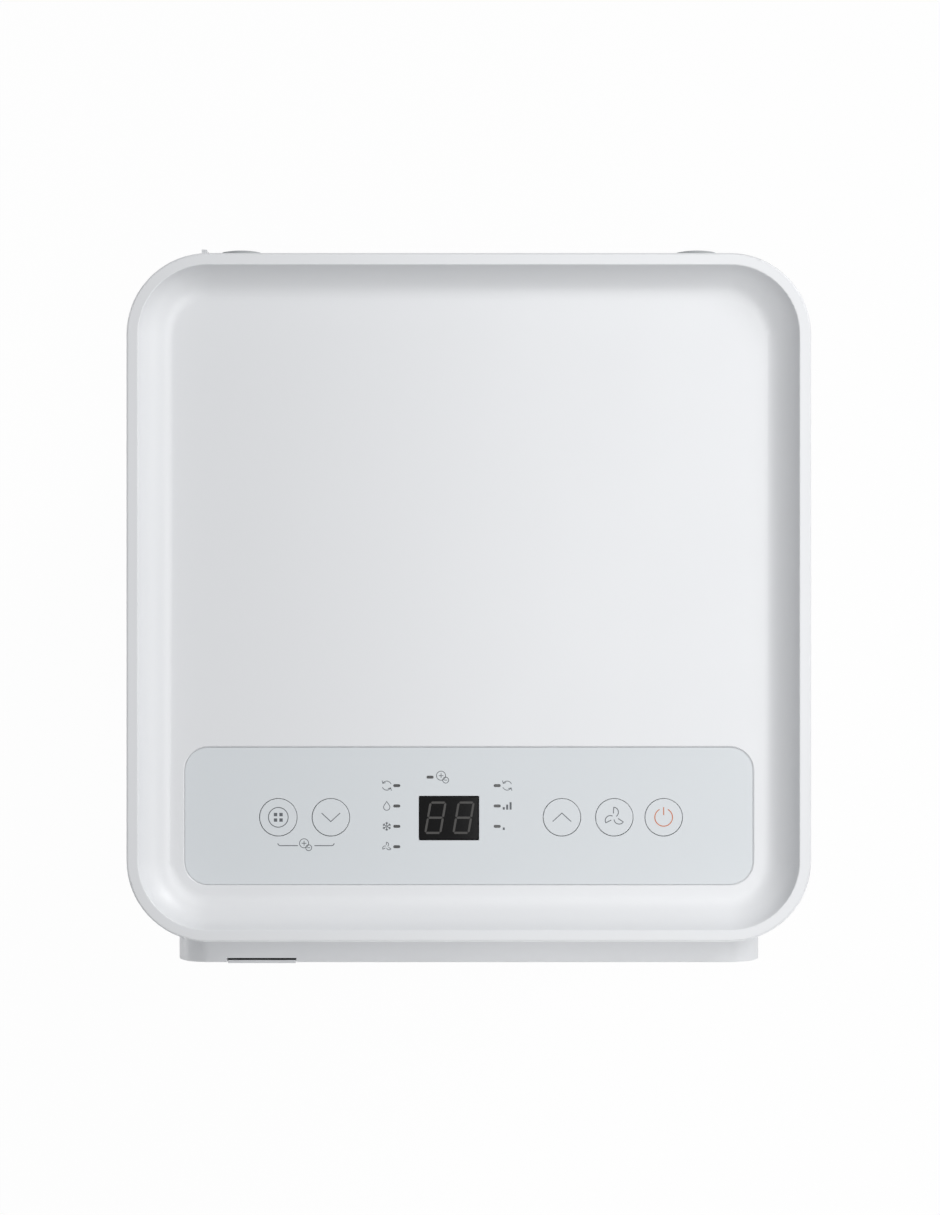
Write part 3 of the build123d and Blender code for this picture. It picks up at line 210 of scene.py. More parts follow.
class StageSizes(bpy.types.PropertyGroup):
    """Camera, floor and light"""
    lens: FloatProperty(name="Lens", description="Focal length", default=77.1, unit="CAMERA")
    height: length("Camera height", 1310.0, "From the rim up to the camera")
    shift_x: length("Camera X", 0.6, "Camera position across")
    shift_y: length("Camera Y", -5.1, "Camera position from the cover's middle")
    fill: FloatProperty(name="Fill", description="Strength of the even light all round", default=0.18)
    back: power_setting("Back light", 23.9, "Far light at the back right")
    overhead: power_setting("Overhead light", 8.9, "Box over the top cover")
    side: power_setting("Side light", 0.95, "Strip close on the right")
    front: power_setting("Front light", 12.8, "Low light at the front")
    left: power_setting("Left light", 9.0, "Low light on the left")


def settings():
    """The tower's own settings on the scene."""
    return bpy.context.scene.climate_tower


def add_node(tree, kind, inputs=None, **options):
    """Add one node, set its options, and set or link its inputs."""
    node = tree.nodes.new(kind)
    for key, value in options.items():
        setattr(node, key, value)
    for key, value in (inputs or {}).items():
        if isinstance(value, bpy.types.NodeSocket):
            tree.links.new(value, node.inputs[key])
        else:
            node.inputs[key].default_value = value
    return node


def emptied_tree(owner):
    """The node tree of a material or world, without its first nodes."""
    owner.use_nodes = True
    owner.node_tree.nodes.clear()
    return owner.node_tree


def new_material(name, **constants):
    """A node material with a Principled shader, whose sockets take the constants."""
    material = bpy.data.materials.new(name)
    tree = emptied_tree(material)
    shader = add_node(tree, "ShaderNodeBsdfPrincipled", constants)
    add_node(tree, "ShaderNodeOutputMaterial", {"Surface": shader.outputs[0]})
    return material, tree, shader


def surface(name, colour, roughness, tone, cloud, grain, bump, **constants):
    """A material whose tone and gloss drift slowly, with a fine grain; cloud, grain and bump in mm."""
    material, tree, shader = new_material(name, **constants)
    place = add_node(tree, "ShaderNodeTexCoord").outputs["Object"]
    drift = add_node(
        tree, "ShaderNodeTexNoise", {"Vector": place, "Scale": 1 / (cloud * MM), "Detail": 3.0}
    ).outputs["Fac"]
    darker = tuple(c * (1 - tone) for c in colour[:3]) + (1.0,)
    tint = add_node(
        tree,
        "ShaderNodeMix",
        {0: drift, MIX_FIRST: darker, MIX_SECOND: tuple(colour)},
        data_type="RGBA",
    )
    gloss = add_node(
        tree,
        "ShaderNodeMapRange",
        {
            "Value": drift,
            "To Min": roughness * (1 - GLOSS_DRIFT),
            "To Max": roughness * (1 + GLOSS_DRIFT),
        },
    )
    grit = add_node(
        tree, "ShaderNodeTexNoise", {"Vector": place, "Scale": 1 / (grain * MM), "Detail": 2.0}
    ).outputs["Fac"]
    relief = add_node(
        tree, "ShaderNodeBump", {"Height": grit, "Distance": bump * MM, "Strength": GRAIN_STRENGTH}
    )
    tree.links.new(tint.outputs[MIX_RESULT], shader.inputs["Base Color"])
    tree.links.new(gloss.outputs[0], shader.inputs["Roughness"])
    tree.links.new(relief.outputs[0], shader.inputs["Normal"])
    return material


def finned(name, hex_code, shaded_gap_code, roughness, pitch, bump):
    """Upright plates, drawn about twice as coarse as real fins because those are too fine to show, with
    painted shade in the gaps between them.
    """
    material, tree, shader = new_material(name, Metallic=1.0, Roughness=roughness)
    fins = add_node(
        tree,
        "ShaderNodeTexWave",
        {
            "Vector": add_node(tree, "ShaderNodeTexCoord").outputs["Object"],
            "Scale": WAVE_PERIOD / (pitch * MM),
        },
        wave_type="BANDS",
        bands_direction="X",
    ).outputs["Fac"]
    # The gaps between the fins get a darker colour: painted shade
    tint = add_node(
        tree,
        "ShaderNodeMix",
        {0: fins, MIX_FIRST: linear(shaded_gap_code), MIX_SECOND: linear(hex_code)},
        data_type="RGBA",
    )
    relief = add_node(tree, "ShaderNodeBump", {"Height": fins, "Distance": bump * MM})
    tree.links.new(tint.outputs[MIX_RESULT], shader.inputs["Base Color"])
    tree.links.new(relief.outputs[0], shader.inputs["Normal"])
    return material


def all_materials():
    """Every finish of the tower, by the record's slot or by use."""
    colours = settings().colours
    columns = ("name", "colour", "roughness", "IOR", "tone", "cloud", "grain", "bump")
    rows = {
        # ABS, moulded with a fine satin texture: soft highlights, almost neutral white
        "shell_white": ("ABS_satin_white", colours.shell, 0.38, 1.52, 0.015, 60, 0.9, 0.02),
        # Polyester film with a satin hard coat: slightly bluer and smoother than the shell
        "overlay_grey": ("polyester_film_grey", colours.overlay, 0.45, 1.43, 0.01, 60, 0.5, 0.006),
        "cap_grey": ("polyester_film_cap", colours.overlay, 0.45, 1.43, 0.01, 60, 0.5, 0.006),
        # Smoked acrylic, polished: black, with clear but weak reflections
        "display_black": ("smoked_acrylic", colours.window, 0.09, 1.2, 0.2, 40, 2.0, 0.002),
        # Smoked acrylic light pipes, as moulded: near black, with a soft glint
        "lamp_dark": ("smoked_light_pipe", colours.lamp, 0.3, 1.49, 0.2, 10, 1.0, 0.002),
        # ABS, polished in the mould: the shell's white with sharper highlights
        "window_grey": ("polished_ABS", colours.shell, 0.18, 1.52, 0.01, 30, 1.0, 0.002),
        # ABS in pale grey with a coarser mould texture: dull, even slats
        "vent_grey": ("ABS_textured_grey", colours.vent, 0.5, 1.52, 0.03, 30, 0.8, 0.03),
        # Nylon thread, woven: dark and matt, with uneven tone from thread to thread
        "filter_mesh": ("nylon_mesh", colours.filter, 0.65, 1.53, 0.1, 6, 0.5, 0.05),
        # Soft rubber, moulded: matt, with a faint bloom
        "soft_rubber": ("moulded_rubber", colours.rubber, 0.72, 1.52, 0.08, 14, 0.5, 0.03),
        # Nylon filled with glass fibre: black, half matt, a little streaked
        "caster_nylon": ("glass_filled_nylon", colours.caster, 0.5, 1.53, 0.12, 10, 0.7, 0.04),
        # Polyurethane, cast and then rolled on: matt black with scuffs
        "caster_tread": ("caster_polyurethane", colours.caster, 0.62, 1.5, 0.2, 9, 0.6, 0.05),
        # Solder mask over copper tracks: glossy green of uneven depth
        "circuit_board": ("solder_mask_green", linear("1d5a36"), 0.35, 1.55, 0.15, 12, 0.8, 0.01),
        # Stoved enamel on steel: glossy black with slight orange peel
        "black_paint": ("black_enamel", linear("17181a"), 0.3, 1.5, 0.2, 30, 1.2, 0.02),
        # Polypropylene, moulded: waxy mid grey without clear highlights
        "inner_plastic": ("polypropylene_grey", linear("a4a7aa"), 0.55, 1.49, 0.05, 30, 1.0, 0.03),
        # Closed-cell foam tape: black, matt and pitted, set in the receiver slot as painted shade that
        # darkens it
        "foam": ("black_foam_tape", linear("0b0c0d"), 0.9, 1.4, 0.3, 3, 0.4, 0.1),
    }
    made = {use: surface(**dict(zip(columns, row))) for use, row in rows.items()}
    metal = {"Metallic": 1.0, "tone": 0.12, "cloud": 25, "grain": 0.6, "bump": 0.01}
    ink = {"roughness": 0.55, "tone": 0.04, "cloud": 8, "grain": 0.3, "bump": 0.004}
    return made | {
        # Steel, zinc plated: bright grey with a soft, slightly cloudy shine
        "zinc_steel": surface("zinc_plated_steel", linear("b9bcc0"), roughness=0.34, **metal),
        # Copper, drawn: reddish, with a soft shine and a little tarnish
        "copper_pipe": surface("drawn_copper", linear("c8784f"), roughness=0.3, **metal),
        # Aluminium, stamped into fins: pale edges, with painted shade darkening the gaps between them
        "fin_aluminium": finned(
            "aluminium_fins", "d6d9dc", "7d8286", roughness=0.42, pitch=3.553, bump=0.4
        ),
        # Screen-printed ink, grey and copper-coloured: matt lines on the film
        "ink": surface("screen_print_grey", colours.ink, **ink),
        "power_ink": surface("screen_print_copper", colours.power_ink, **ink),
        # Unlit segments: a shade paler than the black window
        "segment": surface("unlit_segment", colours.segment, **ink),
    }


materials = {}
dressed = set()


def finish_of(name):
    """One finish, making the whole set the first time."""
    if not materials:
        materials.update(all_materials())
    return materials[name]


def linked(name, data):
    """A new object in the scene."""
    thing = bpy.data.objects.new(name, data)
    bpy.context.scene.collection.objects.link(thing)
    return thing


def new_piece(name, mesh, finish, body, replaced=()):
    """Link a finished mesh as a piece that rides on a body."""
    piece = linked(name, mesh)
    mesh.materials.clear()
    mesh.materials.append(finish_of(finish))
    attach(piece, body)
    if replaced:
        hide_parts(*replaced)
        dressed.update(replaced)
    return piece


def mesh_from(name, points, faces):
    """A plain mesh from points and faces."""
    mesh = bpy.data.meshes.new(name)
    mesh.from_pydata([tuple(p) for p in points], [], faces)
    mesh.validate()
    return mesh


@contextmanager
def edited(mesh):
    """Open a mesh for editing, and write it back."""
    work = bmesh.new()
    work.from_mesh(mesh)
    yield work
    work.to_mesh(mesh)
    work.free()


def merged_copy(node):
    """A CAD node's shape as one joined mesh with flat faces dissolved, smooth where it is round."""
    source = frame["nodes"][node].data
    mesh = mesh_from(node, [v.co for v in source.vertices], [tuple(p.vertices) for p in source.polygons])
    with edited(mesh) as work:
        bmesh.ops.remove_doubles(work, verts=work.verts, dist=JOIN_DISTANCE)
        bmesh.ops.dissolve_limit(work, angle_limit=FLAT_ANGLE, verts=work.verts, edges=work.edges)
    shade(mesh)
    return mesh


def shade(mesh):
    """Smooth shading that stays crisp at sharp edges."""
    with edited(mesh) as work:
        for face in work.faces:
            face.smooth = True
        for edge in work.edges:
            edge.smooth = len(edge.link_faces) == 2 and edge.calc_face_angle() < SMOOTH_ANGLE


def evaluated_mesh(carrier):
    """What an object's modifiers make of it, as a plain mesh."""
    depsgraph = bpy.context.evaluated_depsgraph_get()
    return bpy.data.meshes.new_from_object(carrier.evaluated_get(depsgraph))


def cut(mesh, cutter):
    """A mesh with another one cut out of it."""
    blank, tool = (linked(part.name, part) for part in (mesh, cutter))
    modifier = blank.modifiers.new("Cut", "BOOLEAN")
    modifier.operation = "DIFFERENCE"
    modifier.object = tool
    result = evaluated_mesh(blank)
    for part in (blank, tool):
        bpy.data.objects.remove(part)
    shade(result)
    return result


def soften(piece, edge):
    """Round a piece's outer edges and even out its shading."""
    if edge:
        with edited(piece.data) as work:
            weight = work.edges.layers.float.new("bevel_weight_edge")
            for line in work.edges:
                outer = len(line.link_faces) == 2 and line.is_convex
                line[weight] = float(outer and line.calc_face_angle() > ROUNDED_ANGLE)
        bevel = piece.modifiers.new("Rounded edges", "BEVEL")
        bevel.width = edge
        bevel.segments = 2
        bevel.limit_method = "WEIGHT"
        bevel.harden_normals = True
    weighted = piece.modifiers.new("Even normals", "WEIGHTED_NORMAL")
    weighted.keep_sharp = True


def dress(node, edge=None, cutter=None):
    """Stand a smooth copy, with rounded edges or a cut if asked, in a CAD node's place."""
    mesh = merged_copy(node)
    if cutter:
        mesh = cut(mesh, cutter)
    stand_in(node, mesh, edge)


def stand_in(node, mesh, edge):
    """Let a mesh take a CAD node's place, on its body and with its slot's finish."""
    slot = SLOT_OF[node]
    soften(new_piece(f"{node}_look", mesh, slot, BODY_OF[node], (node,)), edge)


SOCKET_KINDS = {
    float: "NodeSocketFloat",
    int: "NodeSocketInt",
    tuple: "NodeSocketVector",
    bpy.types.Material: "NodeSocketMaterial",
}


def grown(node, plan, points, edge=None, **sizes):
    """Let a Geometry Nodes plan draw a CAD node's shape at points, kept as a plain mesh in its place."""
    sizes = {label.replace("_", " "): value for label, value in sizes.items()}
    sizes["Finish"] = finish_of(SLOT_OF[node])
    tree = bpy.data.node_groups.new(plan.__name__, "GeometryNodeTree")
    tree.interface.new_socket("Points", in_out="INPUT", socket_type="NodeSocketGeometry")
    tree.interface.new_socket("Mesh", in_out="OUTPUT", socket_type="NodeSocketGeometry")
    sockets = {
        label: tree.interface.new_socket(label, in_out="INPUT", socket_type=SOCKET_KINDS[type(value)])
        for label, value in sizes.items()
    }
    given = add_node(tree, "NodeGroupInput").outputs
    copies = add_node(
        tree, "GeometryNodeInstanceOnPoints", {"Points": given["Points"], "Instance": plan(tree, given)}
    )
    whole = add_node(tree, "GeometryNodeRealizeInstances", {"Geometry": copies.outputs[0]})
    coated = add_node(
        tree, "GeometryNodeSetMaterial", {"Geometry": whole.outputs[0], "Material": given["Finish"]}
    )
    add_node(tree, "NodeGroupOutput", {"Mesh": coated.outputs[0]})
    carrier = linked(node, mesh_from(node, points, []))
    modifier = carrier.modifiers.new(plan.__name__, "NODES")
    modifier.node_group = tree
    for label, value in sizes.items():
        modifier[sockets[label].identifier] = value
    mesh = evaluated_mesh(carrier)
    bpy.data.objects.remove(carrier)
    stand_in(node, mesh, edge)


def barred_frame(tree, given):
    """A frame with a row of level bars and a row of upright bars in its opening."""
    block = add_node(tree, "GeometryNodeMeshCube", {"Size": given["Outside"]})
    hole = add_node(tree, "GeometryNodeMeshCube", {"Size": given["Opening"]})
    border = add_node(
        tree,
        "GeometryNodeMeshBoolean",
        {"Mesh 1": block.outputs[0], "Mesh 2": hole.outputs[0]},
        operation="DIFFERENCE",
    )
    rows = [border.outputs[0]]
    for way in ("Level", "Upright"):
        bar = add_node(tree, "GeometryNodeMeshCube", {"Size": given[f"{way} bar"]})
        places = add_node(
            tree,
            "GeometryNodeMeshLine",
            {
                "Count": given[f"{way} count"],
                "Start Location": given[f"{way} first"],
                "Offset": given[f"{way} step"],
            },
        )
        row = add_node(
            tree,
            "GeometryNodeInstanceOnPoints",
            {"Points": places.outputs[0], "Instance": bar.outputs[0], "Rotation": given[f"{way} lean"]},
        )
        rows.append(row.outputs[0])
    joined = add_node(tree, "GeometryNodeJoinGeometry")
    for row in rows:
        tree.links.new(row, joined.inputs[0])
    return joined.outputs[0]


def pan_head_screw(tree, given):
    """A screw with a tapered pan head and a cross recess, its head towards +Y."""
    head = add_node(
        tree,
        "GeometryNodeMeshCone",
        {
            "Radius Top": given["Top radius"],
            "Radius Bottom": given["Head radius"],
            "Depth": given["Head height"],
        },
    )
    crossed = add_node(
        tree, "GeometryNodeMeshBoolean", {"Mesh 1": head.outputs[0]}, operation="DIFFERENCE"
    )
    for arm in ("Recess", "Cross recess"):
        bar = add_node(tree, "GeometryNodeMeshCube", {"Size": given[arm]})
        raised = add_node(
            tree,
            "GeometryNodeTransform",
            {"Geometry": bar.outputs[0], "Translation": given["Recess place"]},
        )
        tree.links.new(raised.outputs[0], crossed.inputs["Mesh 2"])
    shank = add_node(
        tree,
        "GeometryNodeMeshCylinder",
        {"Radius": given["Shank radius"], "Depth": given["Shank length"]},
    )
    sunk = add_node(
        tree,
        "GeometryNodeTransform",
        {"Geometry": shank.outputs[0], "Translation": given["Shank place"]},
    )
    joined = add_node(tree, "GeometryNodeJoinGeometry")
    for shape in (crossed, sunk):
        tree.links.new(shape.outputs[0], joined.inputs[0])
    turned = add_node(
        tree, "GeometryNodeTransform", {"Geometry": joined.outputs[0], "Rotation": (-math.pi / 2, 0, 0)}
    )
    return turned.outputs[0]


def paint(*nodes):
    """Give CAD nodes that keep their own shape the finish of their slot."""
    for node in nodes:
        mesh = frame["nodes"][node].data
        mesh.materials.clear()
        mesh.materials.append(finish_of(SLOT_OF[node]))


def loose_middles(node):
    """Middles of the boxes round a CAD node's separate solids, in order of place."""
    work = bmesh.new()
    work.from_mesh(merged_copy(node))
    waiting, middles = set(work.verts), []
    while waiting:
        solid, reached = set(), [waiting.pop()]
        while reached:
            vertex = reached.pop()
            solid.add(vertex)
            reached += {edge.other_vert(vertex) for edge in vertex.link_edges} - solid
        waiting -= solid
        spans = [[v.co[axis] for v in solid] for axis in range(3)]
        middles.append(Vector([(min(span) + max(span)) / 2 for span in spans]))
    work.free()
    return sorted(middles, key=tuple)


def centre_of(node):
    """Middle of a CAD node's box."""
    low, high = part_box(node)
    return (low + high) / 2


def arc(middle, radius, start, end, steps=32):
    """Points of an arc, angles in degrees."""
    angles = [math.radians(start + (end - start) * i / steps) for i in range(steps + 1)]
    return [(middle[0] + radius * math.cos(a), middle[1] + radius * math.sin(a)) for a in angles]


def circle(middle, radius, steps=48):
    """Points of a whole circle, without a repeated end."""
    return arc(middle, radius, 0, 360, steps)[:-1]


def ribbon(points, width, closed=False):
    """A flat line of even width along points, with mitred corners: its points and faces."""
    count = len(points)
    rim = []
    for i, here in enumerate(points):
        here = Vector(here)
        ways = []
        if closed or i:
            ways.append((here - Vector(points[i - 1])).normalized())
        if closed or i < count - 1:
            ways.append((Vector(points[(i + 1) % count]) - here).normalized())
        along = sum(ways, Vector((0, 0))).normalized()
        side = Vector((-along.y, along.x))
        stretch = 1 / max(MITRE_LIMIT, abs(along.dot(ways[0])))
        rim += [here + side * width / 2 * stretch, here - side * width / 2 * stretch]
    spans = count if closed else count - 1
    pairs = [(2 * i, 2 * ((i + 1) % count)) for i in range(spans)]
    return rim, [(here, here + 1, after + 1, after) for here, after in pairs]


def printed_marks(name, lines, fills, height, finish, body, slot):
    """One layer of print: lines are (points, width), with True if closed, and fills are outlines."""
    points, faces = [], []
    for line in lines:
        rim, spans = ribbon(*line)
        faces += [tuple(len(points) + k for k in span) for span in spans]
        points += [(p.x, p.y, height + INK_LIFT) for p in rim]
    for outline in fills:
        faces.append(tuple(range(len(points), len(points) + len(outline))))
        points += [(p[0], p[1], height + INK_LIFT) for p in outline]
    mesh = mesh_from(name, points, faces)
    with edited(mesh) as work:
        bmesh.ops.recalc_face_normals(work, faces=work.faces)
        for face in work.faces:
            if face.normal.z < 0:
                face.normal_flip()
        raised = bmesh.ops.extrude_face_region(work, geom=work.faces[:])["geom"]
        for vertex in raised:
            if isinstance(vertex, bmesh.types.BMVert):
                vertex.co.z += INK_THICK
        bmesh.ops.recalc_face_normals(work, faces=work.faces)
    return new_piece(name, mesh, finish, body)


class CLIMATE_OT_top_cover(bpy.types.Operator):
    """Dress the dished top cover, with a sloped lip round the control film"""
    bl_idname = "climate.top_cover"
    bl_label = "Top cover"

    def execute(self, context):
        dress("top_cover", cutter=self.lip_cutter(settings().finish))
        return {"FINISHED"}

    def lip_cutter(self, sizes):
        """A plate in the control film's outline, wider at its top, that cuts a sloped lip round it."""
        low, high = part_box("control_overlay")
        round_r = sizes.film_corner
        right, left = high.x - round_r, low.x + round_r
        back, front = high.y - round_r, low.y + round_r
        points = []
        for grow, lift in ((0, -sizes.lip_depth), (2 * sizes.lip_width, sizes.lip_depth)):
            corners = ((right, back), (left, back), (left, front), (right, front))
            for quarter, corner in enumerate(corners):
                bend = arc(corner, round_r + grow, 90 * quarter, 90 * quarter + 90, steps=12)
                points += [(px, py, high.z + sizes.film_sink + lift) for px, py in bend]
        count = len(points) // 2
        sides = [(i, (i + 1) % count, count + (i + 1) % count, count + i) for i in range(count)]
        caps = [tuple(reversed(range(count))), tuple(range(count, 2 * count))]
        return mesh_from("lip_cutter", points, sides + caps)


class CLIMATE_OT_control_panel(bpy.types.Operator):
    """Dress the control film, its lamps and its print"""
    bl_idname = "climate.control_panel"
    bl_label = "Control panel"

    def execute(self, context):
        dress("control_overlay")
        dress("indicator_lenses")
        sizes = settings().print
        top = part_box("control_overlay")[1].z
        low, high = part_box("indicator_lenses")
        lamps = lamp_places()
        lines, fills = [], []
        drawings = (cycle_mark, drop_mark, snow_mark, fan_mark)
        drawings += (cycle_mark, partial(bars_mark, 3), partial(bars_mark, 1))
        places = [(low.x - sizes.icon_gap, lamp.y) for lamp in lamps["left"]]
        places += [(high.x + sizes.icon_gap, lamp.y) for lamp in lamps["right"]]
        for place, drawing in zip(places, drawings):
            more_lines, more_fills = drawing(place, sizes.icon / 2, sizes.fine_line)
            lines += more_lines
            fills += more_fills
        lines += ion_mark(lamps["single"].xy + ION_FROM_LAMP, sizes.fine_line)
        mode, down = centre_of("button_mode"), centre_of("button_down")
        middle = Vector(((mode.x + down.x) / 2, mode.y - sizes.bracket_drop))
        ends = mode.x - BRACKET_PAST_MODE, down.x + BRACKET_PAST_DOWN
        lines += bracket_lines(*ends, middle, sizes.line)
        lines += ion_mark(middle + ION_FROM_BRACKET, sizes.fine_line)
        printed_marks("control_print", lines, fills, top, "ink", "cabinet", "overlay_grey")
        return {"FINISHED"}


def lamp_places():
    """Middles of the lamps: the left and right rows from the back, and the single one behind them."""
    middles = sorted(loose_middles("indicator_lenses"), key=lambda place: -place.y)
    ends = {"left": min(p.x for p in middles), "right": max(p.x for p in middles)}
    rows = {side: [p for p in middles if abs(p.x - x) < SAME_ROW] for side, x in ends.items()}
    return rows | {"single": middles[0]}


def cycle_mark(place, size, width):
    """Two chasing arrows in a ring: automatic running."""
    sweep, barb = 130, size * 0.45
    lines = []
    for start in (20, 200):
        bow = arc(place, size, start, start + sweep, steps=16)
        lines.append((bow, width))
        tip = Vector(bow[-1])
        away = (tip - Vector(place)).normalized()
        back = Vector((away.y, -away.x))
        lines.append(([tip + (away + back) * barb, tip, tip + (back - away) * barb], width))
    return lines, []


def drop_mark(place, size, width):
    """A water drop: drying."""
    x, y = place
    belly, sink, shoulder = size * 0.7, size * 0.25, 30
    round_part = arc((x, y - sink), belly, 180 - shoulder, 360 + shoulder, steps=24)
    return [([(x, y + size)] + round_part, width, True)], []


def snow_mark(place, size, width):
    """A six-armed snow crystal: cooling."""
    fork_at, twig = size * 0.55, size * 0.28
    centre = Vector(place)
    lines = []
    for turn in range(30, 390, 60):
        way = Vector((math.cos(math.radians(turn)), math.sin(math.radians(turn))))
        across = Vector((-way.y, way.x))
        lines.append(([centre + way * width / 2, centre + way * size], width))
        fork = centre + way * fork_at
        for side in (-1, 1):
            lines.append(([fork, fork + (way + across * side) * twig], width))
    return lines, []


def fan_mark(place, size, width):
    """Three open blades round a hub: fan."""
    # One blade of a fan of radius 1: its root, then the ends and handles of its bow
    root = Vector((-0.09, 0.39))
    bow = [Vector(p) for p in ((-0.05, 1.0), (0.36, 1.0), (0.62, 0.42), (0.2, 0.09))]
    blade = [root] + [Vector(p) for p in interpolate_bezier(*bow, 12)]
    lines = []
    for turn in (0, 120, 240):
        way = Matrix.Rotation(math.radians(turn), 2)
        lines.append(([Vector(place) + way @ p * size for p in blade], width))
    return lines, []


def bars_mark(count, place, size, _width):
    """Full bars, so without a line, that rise from the left: one for low and three for high."""
    pitch, rise, half = size * 0.75, size * 0.55, size * 0.22
    bottom = place[1] - size * 0.8
    fills = []
    for step in range(count):
        x = place[0] + (step - 1) * pitch
        top = bottom + rise * (step + 1)
        fills.append([(x - half, bottom), (x + half, bottom), (x + half, top), (x - half, top)])
    return [], fills


def ion_mark(plus, width):
    """A ringed plus with a smaller ringed minus: charged air."""
    minus = plus + Vector((2.35, -2.25)) * MM
    big, little, arm, short_arm = 2.3 * MM, 1.5 * MM, 1.2 * MM, 0.72 * MM
    level, upright, short = Vector((arm, 0)), Vector((0, arm)), Vector((short_arm, 0))
    return [
        (circle(plus, big), width, True),
        ([plus - level, plus + level], width),
        ([plus - upright, plus + upright], width),
        (circle(minus, little), width, True),
        ([minus - short, minus + short], width),
    ]


def bracket_lines(left, right, middle, width):
    """A flat bracket with upturned ends that ties two buttons to the mark between them."""
    bend, lean, left_gap, right_gap = 1.4 * MM, 10, 3.4 * MM, 5.0 * MM
    x, y = middle
    left_end = arc((left + bend, y + bend), bend, 180 + lean, 270, steps=8) + [(x - left_gap, y)]
    right_end = [(x + right_gap, y)] + arc((right - bend, y + bend), bend, 270, 360 - lean, steps=8)
    return [(left_end, width), (right_end, width)]


class CLIMATE_OT_buttons(bpy.types.Operator):
    """Dress the five caps and print their marks"""
    bl_idname = "climate.buttons"
    bl_label = "Buttons"

    def execute(self, context):
        sizes = settings().print
        for button in BUTTONS:
            node = f"button_{button}"
            dress(node)
            marks = button_mark(button, centre_of(node).xy, sizes)
            finish = "power_ink" if button == "power" else "ink"
            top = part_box(node)[1].z
            printed_marks(f"{node}_mark", *marks, top, finish, BODY_OF[node], SLOT_OF[node])
        return {"FINISHED"}


def button_mark(button, middle, sizes):
    """The mark on one cap."""
    x, y = middle
    if button == "mode":
        near, far = sizes.mode_gap, sizes.mode_gap + sizes.mode_cell
        fills = []
        for sx in (-1, 1):
            for sy in (-1, 1):
                corners = ((near, near), (far, near), (far, far), (near, far))
                fills.append([(x + sx * right, y + sy * up) for right, up in corners])
        return [(circle(middle, sizes.mode_ring, steps=64), sizes.line, True)], fills
    if button == "power":
        ring, opening = sizes.power_ring, 28
        bow = arc(middle, ring, 90 + opening, 450 - opening, steps=64)
        foot, head = ring * 0.25, ring * 1.15
        bar = [(x, y + foot), (x, y + head)]
        return [(line, sizes.power_line) for line in (bow, bar)], []
    if button == "fan":
        return fan_mark(middle, sizes.fan_radius, sizes.line)
    wide, tall = sizes.chevron_width / 2, sizes.chevron_height / 2
    if button == "down":
        tall = -tall
    return [([(x - wide, y - tall), (x, y + tall), (x + wide, y - tall)], sizes.line)], []


class CLIMATE_OT_display(bpy.types.Operator):
    """Dress the display window and its unlit digits"""
    bl_idname = "climate.display"
    bl_label = "Display"

    def execute(self, context):
        sizes = settings().print
        dress("display_window", edge=settings().finish.window_edge)
        middle = centre_of("display_window").xy + DIGITS_FROM_MIDDLE
        step = Vector((sizes.digit_pitch / 2, 0))
        fills = digit_segments(middle - step, sizes) + digit_segments(middle + step, sizes)
        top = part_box("display_window")[1].z
        printed_marks("display_digits", [], fills, top, "segment", "cabinet", "display_black")
        return {"FINISHED"}


def digit_segments(middle, sizes):
    """The seven bars of one leaning digit."""
    wide, tall, bar = sizes.digit_width / 2, sizes.digit_height / 2, sizes.segment / 2
    ends = [((-wide, y), (wide, y)) for y in (tall, 0, -tall)]
    ends += [((x, y), (x, y + tall)) for y in (0, -tall) for x in (-wide, wide)]
    outlines = []
    for start, end in ends:
        a, b = Vector(start), Vector(end)
        way = (b - a).normalized()
        across = Vector((-way.y, way.x))
        a, b = a + way * sizes.segment_gap, b - way * sizes.segment_gap
        shape = [a, a + (way - across) * bar, b - (way + across) * bar]
        shape += [b, b + (across - way) * bar, a + (way + across) * bar]
        outlines.append([(middle[0] + p.x + p.y * sizes.slant, middle[1] + p.y) for p in shape])
    return outlines


class CLIMATE_OT_cabinet(bpy.types.Operator):
    """Dress the front and rear cabinets, the side panels, the base tray and the hand-grip cups"""
    bl_idname = "climate.cabinet"
    bl_label = "Cabinet"

    def execute(self, context):
        sizes = settings().finish
        for node in ("front_cabinet", "rear_cabinet", "base_tray"):
            dress(node, edge=sizes.edge)
        for node in ("left_side_panel", "right_side_panel"):
            dress(node)
        for node in ("left_grip_cup", "right_grip_cup"):
            dress(node, edge=sizes.grip_edge)
        return {"FINISHED"}


class CLIMATE_OT_front_panel(bpy.types.Operator):
    """Dress the front panel, its receiver window with black foam behind it as painted shade, and the
    louver
    """
    bl_idname = "climate.front_panel"
    bl_label = "Front panel"

    def execute(self, context):
        sizes = settings().finish
        dress("front_panel")
        dress("receiver_window", edge=sizes.slim_edge)
        dress("louver_blade", edge=sizes.edge)
        self.foam(sizes)
        return {"FINISHED"}

    def foam(self, sizes):
        """A strip of black foam in the slot behind the receiver window: painted shade that makes the
        slot darker.
        """
        low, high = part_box("receiver_window")
        corner = Vector((low.x, high.y, low.z))
        size = Vector((high.x - low.x, sizes.foam, high.z - low.z - sizes.foam_drop))
        work = bmesh.new()
        bmesh.ops.create_cube(work)
        for vertex in work.verts:
            vertex.co = corner + (vertex.co + Vector((0.5, 0.5, 0.5))) * size
        mesh = bpy.data.meshes.new("receiver_foam")
        work.to_mesh(mesh)
        work.free()
        soften(new_piece("receiver_foam", mesh, "foam", "cabinet"), sizes.slim_edge)


class CLIMATE_OT_air_outlet(bpy.types.Operator):
    """Dress the outlet duct, the vanes and their link bar"""
    bl_idname = "climate.air_outlet"
    bl_label = "Air outlet"

    def execute(self, context):
        for node in ["outlet_duct", "vane_link"] + VANES:
            dress(node)
        return {"FINISHED"}


